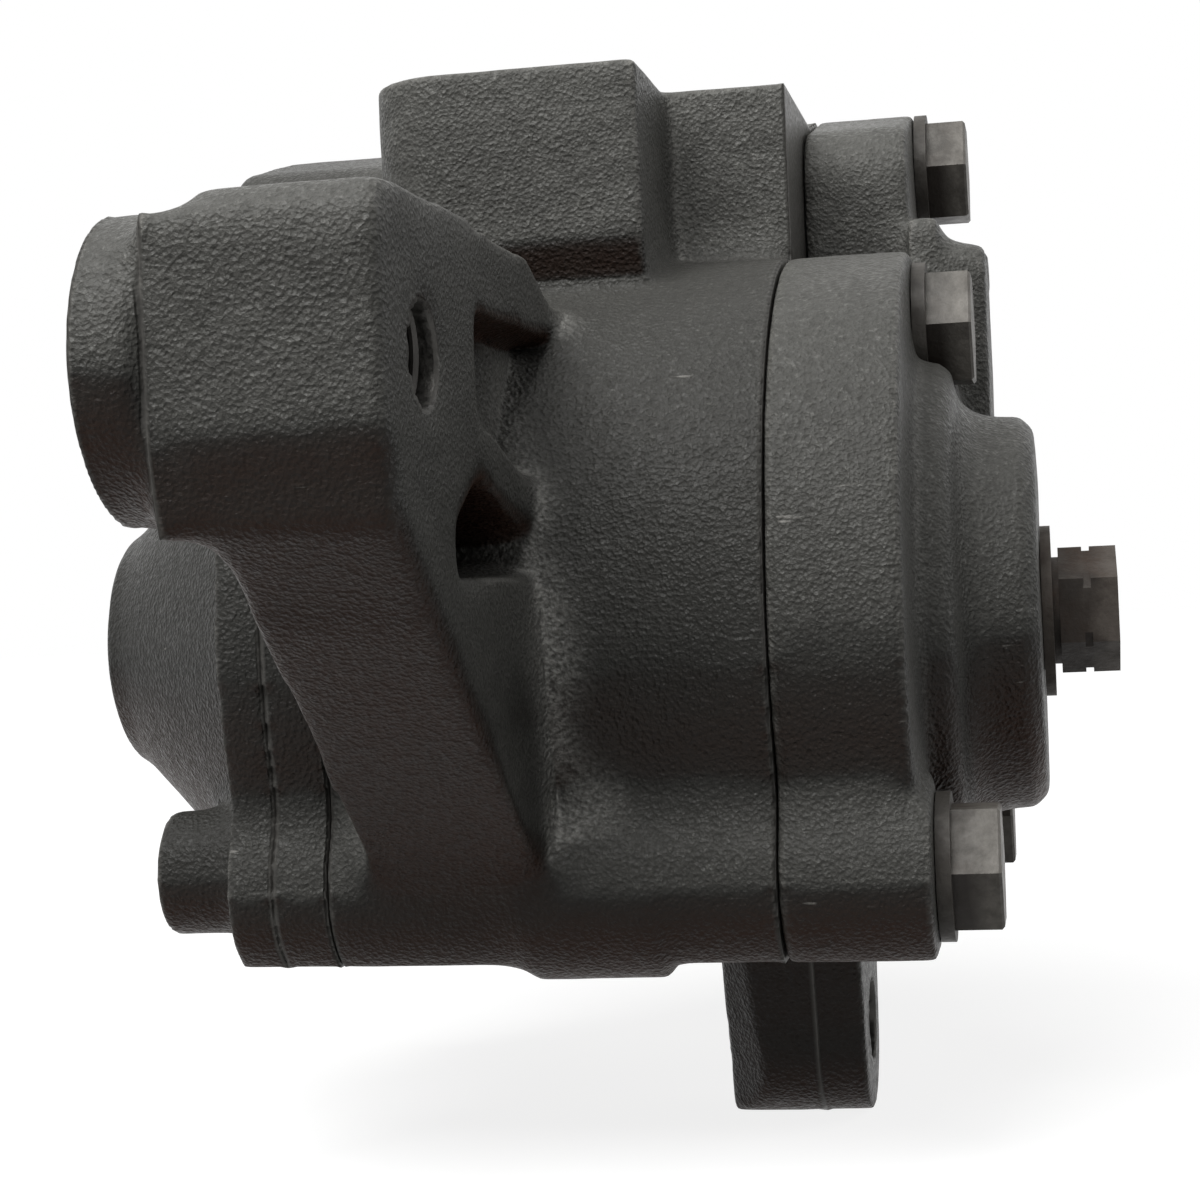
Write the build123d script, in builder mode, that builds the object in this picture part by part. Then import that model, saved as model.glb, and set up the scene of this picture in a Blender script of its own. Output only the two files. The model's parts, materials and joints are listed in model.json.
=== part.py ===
"""Hydraulic vane pump with a built-in flow-control valve, in millimetres.

+X runs along the shaft from its slotted drive end to the rear plug, +Z is up, and the
origin is on the shaft's axis in the plane of its drive end.
"""
from build123d import *
import math
import os

os.makedirs("parts", exist_ok=True)

# ---------------------------------------------------------------- stack of castings
shaft_recess = 1.0  # the shaft ends this far inside the nose
nose_ahead_of_rim = 24.4
front_rim_length = 5.4
plate_length = 6.2
body_length = 49.1
cover_length = 13.6
disc_rise = 1.2  # the cover's round part stands further out than its upper lobe
lower_seat_rise = 2.8  # and its lower lobes further still
shoulder_length = 5.8
boss_length = 9.1

shaft_x = 0.0
nose_x = shaft_x - shaft_recess
rim_x = nose_x + nose_ahead_of_rim
plate_x = rim_x + front_rim_length
body_x = plate_x + plate_length
cover_x = body_x + body_length
seat_x = cover_x + cover_length
lower_seat_x = seat_x + lower_seat_rise
shoulder_x = seat_x + shoulder_length
boss_x = shoulder_x + boss_length
middle_seat_x = seat_x + disc_rise

# ---------------------------------------------------------------- bolts
bolt_radius = 4.0
bolt_hole_clearance = 0.5
bolt_engagement = 15.1  # length of thread in the front cover
head_flats = 13.0
head_height = 5.3
head_chamfer = 0.6
washer_radius = 8.2
washer_thickness = 1.6
bolt_wall = 3.5  # metal between the pump chamber and the top bolt
lower_bolt_wall = 9.7
lower_bolt_angle = 41.2  # below the horizontal
bolt_hole_radius = bolt_radius + bolt_hole_clearance
bolt_length = cover_length + body_length + plate_length + bolt_engagement

# ---------------------------------------------------------------- pump chamber
chamber_radius = 26.5
insert_clearance = 0.05
thrust_plate_length = 6.0
ring_width = 18.0
side_clearance = 0.02
pressure_plate_length = 10.0
spring_space = 5.0

thrust_x = body_x
ring_x = thrust_x + thrust_plate_length
pressure_x = ring_x + ring_width
spring_x = pressure_x + pressure_plate_length
spigot_x = spring_x + spring_space
insert_radius = chamber_radius - insert_clearance

# ---------------------------------------------------------------- outlines
body_wall = 17.5
lobe_radius = 10.4
lobe_overhang = 2.8  # the lower lobe's centre lies outboard of its bolt
belly_z = -36.3  # the flat underside at the rear
belly_rise = 0.9  # and how much it climbs towards the drive end
lobe_fillet = 9.0
valve_boss_wall = 3.5
top_bolt_y = 46.0
top_bolt_z = 60.4
top_lobe_radius = 8.4
shelf_lobe_y = 28.2
shelf_lobe_z = 56.3
shelf_lobe_radius = 8.2
valve_y = 31.5
valve_z = 50.5
valve_radius = 8.0

body_radius = chamber_radius + body_wall
middle_bolt_z = chamber_radius + bolt_wall + bolt_hole_radius
lower_bolt_circle = chamber_radius + lower_bolt_wall + bolt_hole_radius
lower_bolt_y = lower_bolt_circle * math.cos(math.radians(lower_bolt_angle))
lower_bolt_z = -lower_bolt_circle * math.sin(math.radians(lower_bolt_angle))
lobe_y = lower_bolt_y + lobe_overhang
bottom_z = lower_bolt_z - lobe_radius
valve_boss_radius = valve_radius + valve_boss_wall
upper_bolts = [(top_bolt_y, top_bolt_z), (0, middle_bolt_z)]
lower_bolts = [(-lower_bolt_y, lower_bolt_z), (lower_bolt_y, lower_bolt_z)]
all_bolts = upper_bolts + lower_bolts
bolt_seats = [(seat_x, upper_bolts[0]), (middle_seat_x, upper_bolts[1])]
bolt_seats += [(lower_seat_x, centre) for centre in lower_bolts]

# ---------------------------------------------------------------- front cover
nose_radius = 14.7
nose_length = 1.6
nose_edge = 0.8
cone_base_radius = 38.4
blind_boss_radius = 7.2
blind_boss_length = 10.3
blind_boss_lift = 1.4
blind_thread_margin = 2.0
valve_nose_length = 19.0
valve_nose_edge = 3.0

# ---------------------------------------------------------------- rear cover
shoulder_radius = 31.0
boss_radius = 23.6
boss_edge = 1.8
shoulder_edge = 1.5
boss_root = 2.5
shelf_rise = 3.8
shelf_y = 12.0
shelf_width = 24.0
shelf_top_z = 50.3
hump_rise = 9.6
hump_y = 11.0
hump_width = 22.0
hump_top_z = 48.5
hump_edge = 6.0
hump_draft = 12.0
hump_floor_z = 14.0

# ---------------------------------------------------------------- valve housing on the body
housing_top_z = 66.4
housing_front_y = 1.7
housing_back_y = 56.0
housing_back_z = 34.0
housing_edge = 2.5
port_block_offset = 1.3  # from the body's front joint, like the next offsets
port_block_length = 33.0
port_block_front_y = -20.0
port_block_floor_z = 45.2
port_block_undercut = 4.0
port_block_corner = 9.0

# ---------------------------------------------------------------- mounting lug and its arm
lug_y = -79.4
lug_z = 27.6
lug_pad_radius = 15.0
lug_pad_length = 5.8
lug_pad_offset = -6.5
lug_thread_radius = 5.0
lug_block_inset = 2.4  # the block's front face lies this far inside the round pad's
lug_block_length = 16.0
lug_top_z = 43.3
lug_top_drop = 2.6  # the block's top falls towards the pad
lug_edge = 3.0
lug_parting_z = 19.0
lug_draft_inset = 1.7
lug_bottom_z = 11.3
lug_back_y = -60.5
arm_skew = 2.4  # the arm's faces lean from the shaft's cross plane, in degrees
arm_face_offset = 26.2  # where the arm's rear face would cross the shaft's axis
arm_width = 18.6
arm_toe = (-42.0, -27.8)
arm_top_z = 42.2
arm_shoulder = (-38.0, 41.4)  # the upper flange dips from here to the body
arm_shoulder_end = (-26.0, 36.6)
web_width = 6.0
upper_pocket_depth = 5.6
pocket_edge = 1.6
upper_flange_height = 8.8
rib_start = (-60.5, 22.8)
rib_end = (-40.0, 16.6)
rib_thickness = 6.4
lower_flange_start = (-70.0, 7.2)
lower_flange_end = (-40.0, 6.6)
lower_pocket_front = -71.0
pocket_back_y = -20.0
toe_pad_offset = 21.0
toe_pad_length = 15.0
toe_pad_height = 5.8
toe_pad_rise = 0.8

# ---------------------------------------------------------------- lower lug
foot_offset = 37.7
foot_length = 17.4
foot_z = -48.8
foot_radius = 10.9
foot_root_half_width = 15.0
foot_root_z = -34.0
foot_facet_top = (2.3, -42.0)  # how far the facet reaches from the foot's left face, and where
foot_facet_low = (7.4, -58.0)
foot_facet_depth = 5.0
foot_thread_radius = 5.0
foot_gap = 0.4  # between the foot and the rear cover above it

# ---------------------------------------------------------------- ports
inlet_offset = 18.0
inlet_y = -5.5
inlet_radius = 11.0
inlet_depth = 20.0
inlet_passage_radius = 5.0
inlet_passage_y = -10.8
outlet_offset = 15.5
outlet_z = 46.2
outlet_radius = 8.0
outlet_depth = 14.0
outlet_passage_radius = 3.2
pressure_passage_radius = 2.5
pressure_passage_inset = 3.0
bypass_radius = 3.5
bypass_offset = 21.5

# ---------------------------------------------------------------- shaft, seal and bush
shaft_radius = 7.5
running_clearance = 0.05
shaft_edge = 0.6
drive_slot_width = 5.0
drive_slot_depth = 6.0
seal_radius = 11.0
seal_length = 7.0
seal_lip_clearance = 0.08
seal_wall = 1.2
seal_lip_length = 2.4
ring_thickness = 1.2
ring_groove_depth = 0.7
ring_width_radial = 2.4
ring_end_gap = 4.0
seal_ring_recess = 1.9
seal_gap = 0.2
bush_wall = 1.2
spline_teeth = 8
spline_width = 2.4
spline_depth = 0.9
spline_clearance = 0.02
plate_bore_clearance = 0.6

# ---------------------------------------------------------------- rotor, vanes and cam ring
rotor_radius = 16.9
cam_clearance = 0.2
cam_stroke = 2.6
vane_count = 10
vane_thickness = 1.4
vane_height = 6.0
vane_slot_clearance = 0.02
vane_root_gap = 0.35
under_vane_radius = 1.1
cam_points = 48
dowel_radius = 2.0
dowel_wall = 3.85  # from a dowel's centre to the ring's outside
dowel_engagement = 4.0
kidney_orbit = 18.4
kidney_width = 3.0
kidney_arc = 44.0
kidney_depth = 2.5
port_angle = 45.0  # from the horizontal to the first suction port

# ---------------------------------------------------------------- rear bearing and plug
bearing_radius = 17.5
bearing_length = 11.0
bearing_end_wall = 7.1
race_thickness = 2.6
ball_radius = 2.95
ball_count = 8
ball_clearance = 0.05
cage_half_thickness = 0.7
cage_length = 7.6
cage_pocket_clearance = 0.06
plug_thread_radius = 7.0
plug_engagement = 6.0
plug_flats = 13.0
plug_head_length = 7.6
plug_collar_radius = 6.4
plug_collar_length = 0.8
plug_groove_depth = 0.5
plug_groove_width = 0.9
plug_groove_x = 3.6
plug_washer_radius = 10.2
plug_washer_thickness = 1.2

# ---------------------------------------------------------------- flow-control valve
spool_clearance = 0.03
spool_length = 32.0
spool_waist_radius = 5.4
spool_waist_length = 8.0
spool_land_length = 9.0
spool_stop_radius = 3.5
spool_stop_length = 3.0
stop_gap = 0.3
relief_bore_radius = 3.6
relief_bore_length = 18.0
relief_seat_length = 5.0
relief_seat_bore = 1.3
relief_seat_cone = 2.4
poppet_radius = 2.6
poppet_cone_length = 2.6
poppet_length = 5.6
poppet_stem_radius = 1.2
poppet_stem_length = 2.6
poppet_seat_gap = 0.1
relief_wire = 0.4
relief_coil_radius = 2.3
relief_turns = 6
spool_wire = 0.7
spool_coil_radius = 5.6
spool_turns = 8
spring_seat_gap = 0.05
valve_chamber_margin = 5.0
disc_spring_inner = 14.0
disc_spring_outer = 23.0
disc_spring_thickness = 1.2

# ---------------------------------------------------------------- static seals
cord_radius = 0.9
chamber_seal_gap = 0.8  # metal between the chamber's edge and the seal's cord
valve_seal_gap = 0.8


def o_ring(plane, ring_radius):
    """A round-section seal ring lying on a joint plane, around the plane's normal."""
    section = Plane(
        origin=plane.origin + plane.x_dir * ring_radius,
        x_dir=plane.x_dir,
        z_dir=plane.z_dir.cross(plane.x_dir),
    )
    with BuildPart() as ring:
        with BuildSketch(section):
            Circle(cord_radius)
        revolve(axis=Axis(plane.origin, plane.z_dir))
    return ring.part


def seal_groove(plane, ring_radius):
    """The space of a seal ring, to cut out of the casting it lies in."""
    with BuildPart() as groove:
        with BuildSketch(plane):
            Circle(ring_radius + cord_radius)
            Circle(ring_radius - cord_radius, mode=Mode.SUBTRACT)
        extrude(amount=-2 * cord_radius)
    return groove.part


def joint_seal(x, centre, ring_radius):
    """A seal ring and its groove, sunk into the casting ahead of the joint at x."""
    joint = Plane.YZ.offset(x).shift_origin(Vector(x, centre[0], centre[1]))
    ring = o_ring(joint.offset(-cord_radius), ring_radius)
    return ring, seal_groove(joint, ring_radius)


# ---------------------------------------------------------------- outlines shared by the castings
with BuildSketch() as valve_lobe:
    with Locations((valve_y, valve_z)):
        Circle(valve_boss_radius)
    with Locations((shelf_lobe_y, shelf_lobe_z)):
        Circle(shelf_lobe_radius)
    with Locations((top_bolt_y, top_bolt_z)):
        Circle(top_lobe_radius)
    make_hull()

with BuildSketch() as stack_outline:
    Circle(body_radius)
    with Locations((-lobe_y, lower_bolt_z), (lobe_y, lower_bolt_z)):
        Circle(lobe_radius)
    with Locations((0, bottom_z)):
        Rectangle(2 * lobe_y, lobe_radius, align=(Align.CENTER, Align.MIN))
        Rectangle(2 * body_radius, body_radius, align=(Align.CENTER, Align.MAX), mode=Mode.SUBTRACT)
    fillet(
        stack_outline.vertices().filter_by_position(Axis.Y, lower_bolt_z, -lobe_radius),
        radius=lobe_fillet,
    )
    add(valve_lobe.sketch)
    with Locations((valve_y, 0)):
        Rectangle(2 * valve_boss_radius, valve_z, align=(Align.CENTER, Align.MIN))


def bolt_holes(x, centres, radius, length):
    """Round holes along X, starting in the plane x."""
    with BuildPart() as holes:
        with BuildSketch(Plane.YZ.offset(x)):
            with Locations(*centres):
                Circle(radius)
        extrude(amount=length)
    return holes.part


chamber_seal_radius = chamber_radius + chamber_seal_gap + cord_radius
valve_seal_radius = valve_radius + valve_seal_gap + cord_radius
valve_centre = (valve_y, valve_z)
shaft_centre = (0, 0)
chamber_seals = []
valve_seals = []
for joint_x in (plate_x, body_x, cover_x):
    chamber_seals.append(joint_seal(joint_x, shaft_centre, chamber_seal_radius))
    valve_seals.append(joint_seal(joint_x, valve_centre, valve_seal_radius))

with BuildPart() as belly_wedge:
    with BuildSketch(Plane.XZ):
        with BuildLine():
            Polyline(
                (rim_x, bottom_z - lobe_radius),
                (boss_x, bottom_z - lobe_radius),
                (boss_x, belly_z),
                (rim_x, belly_z + belly_rise),
                close=True,
            )
        make_face()
    extrude(amount=body_radius + lobe_radius, both=True)

# ---------------------------------------------------------------- front cover
seal_ring_x = nose_x + seal_ring_recess
seal_x = seal_ring_x + ring_thickness + seal_gap
seal_seat_x = seal_x + seal_length
blind_end_x = rim_x - blind_boss_length
valve_nose_x = rim_x - valve_nose_length
valve_chamber_x = valve_nose_x + valve_chamber_margin
bush_radius = shaft_radius + running_clearance + bush_wall

with BuildPart() as valve_nose:
    with BuildSketch(Plane.YZ.offset(valve_nose_x)):
        add(valve_lobe.sketch)
    extrude(amount=valve_nose_length)
    chamfer(valve_nose.faces().sort_by(Axis.X)[0].edges(), length=valve_nose_edge)

with BuildPart() as front_cover:
    with BuildSketch(Plane.YZ.offset(rim_x)):
        add(stack_outline.sketch)
    extrude(amount=front_rim_length)
    add(belly_wedge.part, mode=Mode.SUBTRACT)
    add(valve_nose.part)
    with BuildSketch(Plane.XZ) as nose_section:
        with BuildLine():
            Polyline(
                (nose_x, 0),
                (nose_x, nose_radius - nose_edge),
                (nose_x + nose_edge, nose_radius),
                (nose_x + nose_length, nose_radius),
                (rim_x, cone_base_radius),
                (rim_x, 0),
                close=True,
            )
        make_face()
    revolve(axis=Axis.X)
    with BuildSketch(Plane.YZ.offset(blind_end_x)):
        with Locations(*[(y, z + blind_boss_lift) for y, z in lower_bolts], (0, middle_bolt_z)):
            Circle(blind_boss_radius)
    extrude(amount=blind_boss_length)
    with BuildSketch(Plane.YZ.offset(nose_x)):
        Circle(seal_radius)
    extrude(amount=seal_seat_x - nose_x, mode=Mode.SUBTRACT)
    with BuildSketch(Plane.YZ.offset(seal_ring_x)):
        Circle(seal_radius + ring_groove_depth)
    extrude(amount=ring_thickness, mode=Mode.SUBTRACT)
    with BuildSketch(Plane.YZ.offset(seal_seat_x)):
        Circle(bush_radius)
    extrude(amount=plate_x - seal_seat_x, mode=Mode.SUBTRACT)
    add(bolt_holes(blind_end_x + blind_thread_margin, [(0, middle_bolt_z)] + lower_bolts, bolt_radius,
                   plate_x - blind_end_x), mode=Mode.SUBTRACT)
    add(bolt_holes(blind_end_x + blind_thread_margin, [(top_bolt_y, top_bolt_z)], bolt_radius,
                   plate_x - blind_end_x), mode=Mode.SUBTRACT)
    with BuildSketch(Plane.YZ.offset(valve_chamber_x)):
        with Locations(valve_centre):
            Circle(valve_radius)
    extrude(amount=plate_x - valve_chamber_x, mode=Mode.SUBTRACT)
    add(chamber_seals[0][1], mode=Mode.SUBTRACT)
    add(valve_seals[0][1], mode=Mode.SUBTRACT)

# ---------------------------------------------------------------- intermediate plate
with BuildPart() as intermediate_plate:
    with BuildSketch(Plane.YZ.offset(plate_x)):
        add(stack_outline.sketch)
        Circle(shaft_radius + plate_bore_clearance, mode=Mode.SUBTRACT)
        with Locations(*all_bolts):
            Circle(bolt_hole_radius, mode=Mode.SUBTRACT)
        with Locations(valve_centre):
            Circle(valve_radius, mode=Mode.SUBTRACT)
    extrude(amount=plate_length)
    add(belly_wedge.part, mode=Mode.SUBTRACT)
    add(chamber_seals[1][1], mode=Mode.SUBTRACT)
    add(valve_seals[1][1], mode=Mode.SUBTRACT)

# ---------------------------------------------------------------- mounting arm, part of the body's casting
block_front_y = lug_y - lug_pad_radius + lug_block_inset
lug_pad_x = body_x + lug_pad_offset
lug_block_x = lug_pad_x + lug_pad_length
arm_face_x = body_x + arm_face_offset
arm_lean = math.radians(arm_skew)
arm_face = Plane(
    origin=(arm_face_x, 0, 0),
    x_dir=(math.sin(arm_lean), math.cos(arm_lean), 0),
    z_dir=(math.cos(arm_lean), -math.sin(arm_lean), 0),
)

with BuildPart() as mounting_arm:
    with BuildSketch(arm_face):
        with BuildLine():
            Polyline(
                (block_front_y + lug_draft_inset, lug_bottom_z),
                (block_front_y, lug_parting_z),
                (block_front_y, lug_top_z - lug_edge),
                (block_front_y + lug_edge, lug_top_z),
                (lug_back_y, lug_top_z),
                (lug_back_y, arm_top_z),
                arm_shoulder,
                arm_shoulder_end,
                (pocket_back_y, arm_shoulder_end[1]),
                (pocket_back_y, arm_toe[1]),
                arm_toe,
                close=True,
            )
        make_face()
    extrude(amount=-arm_width)
    # two pockets from the rear side leave a web, a flange above and below, and a rib between
    with BuildSketch(arm_face) as upper_pocket:
        with BuildLine():
            Polyline(
                rib_start,
                (lug_back_y, arm_top_z - upper_flange_height),
                (pocket_back_y, arm_top_z - upper_flange_height),
                (pocket_back_y, rib_end[1]),
                rib_end,
                close=True,
            )
        make_face()
        fillet(upper_pocket.vertices().group_by(Axis.X)[0], radius=pocket_edge)
    extrude(amount=-upper_pocket_depth, mode=Mode.SUBTRACT)
    with BuildSketch(arm_face) as lower_pocket:
        with BuildLine():
            Polyline(
                (lower_pocket_front, lug_bottom_z),
                (rib_start[0], rib_start[1] - rib_thickness),
                (rib_end[0], rib_end[1] - rib_thickness),
                (pocket_back_y, rib_end[1] - rib_thickness),
                (pocket_back_y, lower_flange_end[1]),
                lower_flange_end,
                lower_flange_start,
                close=True,
            )
        make_face()
        fillet(lower_pocket.vertices().group_by(Axis.X)[0], radius=pocket_edge)
    extrude(amount=-(arm_width - web_width), mode=Mode.SUBTRACT)

with BuildPart() as lug_block:
    with BuildSketch(Plane.XZ.offset(-lug_back_y)) as block_front:
        with BuildLine():
            Polyline(
                (lug_block_x, lug_bottom_z),
                (lug_block_x, lug_top_z - lug_top_drop),
                (lug_block_x + lug_block_length, lug_top_z),
                (lug_block_x + lug_block_length, lug_bottom_z),
                close=True,
            )
        make_face()
    extrude(amount=lug_back_y - block_front_y)
    with BuildSketch(Plane.YZ.offset(lug_block_x)):
        with BuildLine():
            Polyline(
                (block_front_y + lug_draft_inset, lug_bottom_z),
                (block_front_y, lug_parting_z),
                (block_front_y, lug_top_z - lug_edge),
                (block_front_y + lug_edge, lug_top_z),
                (lug_back_y, lug_top_z),
                (lug_back_y, lug_bottom_z),
                close=True,
            )
        make_face()
    extrude(amount=lug_block_length, mode=Mode.INTERSECT)

# ---------------------------------------------------------------- foot, part of the body's casting
foot_x = body_x + foot_offset
facet_start = Vector(foot_x + foot_facet_top[0], -foot_radius, foot_facet_top[1])
facet_low = Vector(foot_x + foot_facet_low[0], -foot_radius, foot_facet_low[1])
facet_side = Vector(foot_x, foot_facet_depth - foot_radius, foot_z)
facet_plane = Plane(
    origin=facet_start,
    x_dir=facet_low - facet_start,
    z_dir=(facet_low - facet_start).cross(facet_side - facet_start),
)

with BuildPart() as foot:
    with BuildSketch(Plane.YZ.offset(foot_x)):
        with Locations((0, foot_z)):
            Circle(foot_radius)
        with BuildLine():
            Polyline(
                (-foot_root_half_width, foot_root_z),
                (foot_root_half_width, foot_root_z),
                (foot_radius, foot_z),
                (-foot_radius, foot_z),
                close=True,
            )
        make_face()
    extrude(amount=foot_length)
    split(bisect_by=facet_plane, keep=Keep.TOP)
    with BuildSketch(Plane.XY.offset(belly_z - foot_gap)):
        with Locations((cover_x, 0)):
            Rectangle(foot_length, 2 * foot_root_half_width, align=(Align.MIN, Align.CENTER))
    extrude(amount=foot_root_z - belly_z + foot_gap, mode=Mode.SUBTRACT)

# ---------------------------------------------------------------- pump body
port_block_x = body_x + port_block_offset
inlet_x = body_x + inlet_offset
outlet_x = body_x + outlet_offset
bypass_x = body_x + bypass_offset
pressure_passage_x = spring_x + spring_space / 2

with BuildPart() as pump_body:
    with BuildSketch(Plane.YZ.offset(body_x)):
        add(stack_outline.sketch)
    extrude(amount=body_length)
    add(belly_wedge.part, mode=Mode.SUBTRACT)
    add(mounting_arm.part)
    add(lug_block.part)
    add(foot.part)
    with BuildSketch(Plane.YZ.offset(lug_pad_x)):
        with Locations((lug_y, lug_z)):
            Circle(lug_pad_radius)
    extrude(amount=lug_pad_length)
    # the valve housing along the top, which carries both ports
    with BuildSketch(Plane.YZ.offset(body_x)):
        with BuildLine():
            Polyline(
                (housing_front_y, middle_bolt_z),
                (housing_front_y, housing_top_z),
                (housing_back_y, housing_top_z),
                (housing_back_y, housing_back_z),
                (insert_radius, 0),
                close=True,
            )
        make_face()
    extrude(amount=body_length)
    # the inlet boss stands out in front of the housing and is undercut below
    with BuildSketch(Plane.XY.offset(port_block_floor_z)) as port_plan:
        with Locations((port_block_x, port_block_front_y)):
            Rectangle(port_block_length, housing_front_y - port_block_front_y + housing_edge,
                      align=(Align.MIN, Align.MIN))
        fillet(port_plan.vertices().group_by(Axis.Y)[0].sort_by(Axis.X)[0], radius=port_block_corner)
    extrude(amount=housing_top_z - port_block_floor_z)
    with BuildSketch(Plane.YZ.offset(port_block_x + port_block_corner)):
        with BuildLine():
            Polyline(
                (port_block_front_y, port_block_floor_z),
                (port_block_front_y + port_block_undercut, middle_bolt_z),
                (housing_front_y, middle_bolt_z),
                (housing_front_y, port_block_floor_z),
                close=True,
            )
        make_face()
    extrude(amount=port_block_length - port_block_corner)
    # the raised pad beside the arm's toe
    with BuildSketch(Plane.YZ.offset(body_x + toe_pad_offset)):
        with Locations((-lobe_y, lower_bolt_z)):
            Circle(lobe_radius + toe_pad_rise)
        with Locations((-lobe_y, lower_bolt_z + lobe_radius - toe_pad_height)):
            Rectangle(2 * body_radius, body_radius, align=(Align.CENTER, Align.MIN), mode=Mode.SUBTRACT)
    extrude(amount=toe_pad_length)
    # the pump chamber, the valve bore, the bolts' holes and the threaded holes
    with BuildSketch(Plane.YZ.offset(body_x)):
        Circle(chamber_radius)
        with Locations(valve_centre):
            Circle(valve_radius)
        with Locations(*all_bolts):
            Circle(bolt_hole_radius)
    extrude(amount=body_length, mode=Mode.SUBTRACT)
    with BuildSketch(Plane.YZ.offset(lug_pad_x)):
        with Locations((lug_y, lug_z)):
            Circle(lug_thread_radius)
    extrude(amount=arm_face_x - lug_pad_x, mode=Mode.SUBTRACT)
    with BuildSketch(Plane.YZ.offset(foot_x)):
        with Locations((0, foot_z)):
            Circle(foot_thread_radius)
    extrude(amount=foot_length, mode=Mode.SUBTRACT)
    # the ports and the passages between them
    with BuildSketch(Plane.XY.offset(housing_top_z)):
        with Locations((inlet_x, inlet_y)):
            Circle(inlet_radius)
    extrude(amount=-inlet_depth, mode=Mode.SUBTRACT)
    with BuildSketch(Plane.XY.offset(housing_top_z)):
        with Locations((inlet_x, inlet_passage_y)):
            Circle(inlet_passage_radius)
    extrude(amount=-housing_top_z, mode=Mode.SUBTRACT)
    with BuildSketch(Plane.XZ.offset(-housing_back_y)):
        with Locations((outlet_x, outlet_z)):
            Circle(outlet_radius)
    extrude(amount=outlet_depth, mode=Mode.SUBTRACT)
    with BuildSketch(Plane.XZ.offset(-housing_back_y)):
        with Locations((outlet_x, outlet_z)):
            Circle(outlet_passage_radius)
    extrude(amount=housing_back_y - valve_y, mode=Mode.SUBTRACT)
    with BuildSketch(Plane.XZ.offset(-valve_y)):
        with Locations((bypass_x, valve_z)):
            Circle(bypass_radius)
    extrude(amount=valve_y - inlet_y, mode=Mode.SUBTRACT)
    with BuildSketch(Plane.XY.offset(valve_z)):
        with Locations((pressure_passage_x, chamber_radius - pressure_passage_inset)):
            Circle(pressure_passage_radius)
    extrude(amount=-valve_z, mode=Mode.SUBTRACT)
    add(chamber_seals[2][1], mode=Mode.SUBTRACT)
    add(valve_seals[2][1], mode=Mode.SUBTRACT)

# ---------------------------------------------------------------- rear cover
bearing_end_x = boss_x - bearing_end_wall
bearing_x = bearing_end_x - bearing_length
bearing_ring_x = bearing_x - ring_thickness

with BuildPart() as rear_cover:
    with BuildSketch(Plane.YZ.offset(cover_x)):
        add(stack_outline.sketch)
    extrude(amount=cover_length)
    with BuildSketch(Plane.YZ.offset(seat_x)):
        Circle(body_radius)
    extrude(amount=disc_rise)
    with BuildSketch(Plane.YZ.offset(seat_x)):
        with Locations((-lobe_y, lower_bolt_z), (lobe_y, lower_bolt_z)):
            Circle(lobe_radius)
    extrude(amount=lower_seat_rise)
    add(belly_wedge.part, mode=Mode.SUBTRACT)
    with BuildSketch(Plane.XZ) as boss_section:
        with BuildLine():
            Polyline(
                (spigot_x, 0),
                (spigot_x, insert_radius),
                (cover_x, insert_radius),
                (cover_x, shoulder_radius),
                (shoulder_x - shoulder_edge, shoulder_radius),
                (shoulder_x, shoulder_radius - shoulder_edge),
                (shoulder_x, boss_radius + boss_root),
                (shoulder_x + boss_root, boss_radius),
                (boss_x - boss_edge, boss_radius),
                (boss_x, boss_radius - boss_edge),
                (boss_x, 0),
                close=True,
            )
        make_face()
    revolve(axis=Axis.X)
    with BuildSketch(Plane.YZ.offset(seat_x)):
        with Locations((shelf_y, hump_floor_z)):
            RectangleRounded(shelf_width, shelf_top_z - hump_floor_z, housing_edge,
                             align=(Align.MIN, Align.MIN))
    extrude(amount=shelf_rise)
    with BuildSketch(Plane.YZ.offset(seat_x)):
        with Locations((hump_y, hump_floor_z)):
            RectangleRounded(hump_width, hump_top_z - hump_floor_z, hump_edge,
                             align=(Align.MIN, Align.MIN))
    extrude(amount=hump_rise, taper=hump_draft)
    with BuildSketch(Plane.YZ.offset(spigot_x)):
        Circle(bearing_radius)
    extrude(amount=bearing_end_x - spigot_x, mode=Mode.SUBTRACT)
    with BuildSketch(Plane.YZ.offset(bearing_ring_x)):
        Circle(bearing_radius + ring_groove_depth)
    extrude(amount=ring_thickness, mode=Mode.SUBTRACT)
    with BuildSketch(Plane.YZ.offset(bearing_end_x)):
        Circle(plug_thread_radius)
    extrude(amount=bearing_end_wall, mode=Mode.SUBTRACT)
    add(bolt_holes(cover_x, all_bolts, bolt_hole_radius, lower_seat_x - cover_x), mode=Mode.SUBTRACT)
    for seat, centre in bolt_seats:
        add(bolt_holes(seat, [centre], washer_radius, shelf_rise + hump_rise), mode=Mode.SUBTRACT)

# ---------------------------------------------------------------- bolts and washers
head_corner_radius = head_flats / math.sqrt(3)

with BuildPart() as cover_bolts:
    for seat, (y, z) in bolt_seats:
        head_x = seat + washer_thickness
        with BuildSketch(Plane.YZ.offset(head_x)):
            with Locations((y, z)):
                RegularPolygon(head_corner_radius, 6)
        extrude(amount=head_height)
        with BuildSketch(Plane.YZ.offset(head_x)):
            with Locations((y, z)):
                Circle(bolt_radius)
        extrude(amount=-bolt_length)
    chamfer(cover_bolts.faces().filter_by(Axis.X).group_by(SortBy.AREA)[-1].edges(), length=head_chamfer / 2)

with BuildPart() as cover_washers:
    for seat, (y, z) in bolt_seats:
        with BuildSketch(Plane.YZ.offset(seat)):
            with Locations((y, z)):
                Circle(washer_radius)
                Circle(bolt_radius, mode=Mode.SUBTRACT)
        extrude(amount=washer_thickness)

# ---------------------------------------------------------------- rear plug and its washer
plug_head_x = boss_x + plug_washer_thickness
plug_corner_radius = plug_flats / math.sqrt(3)

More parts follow.
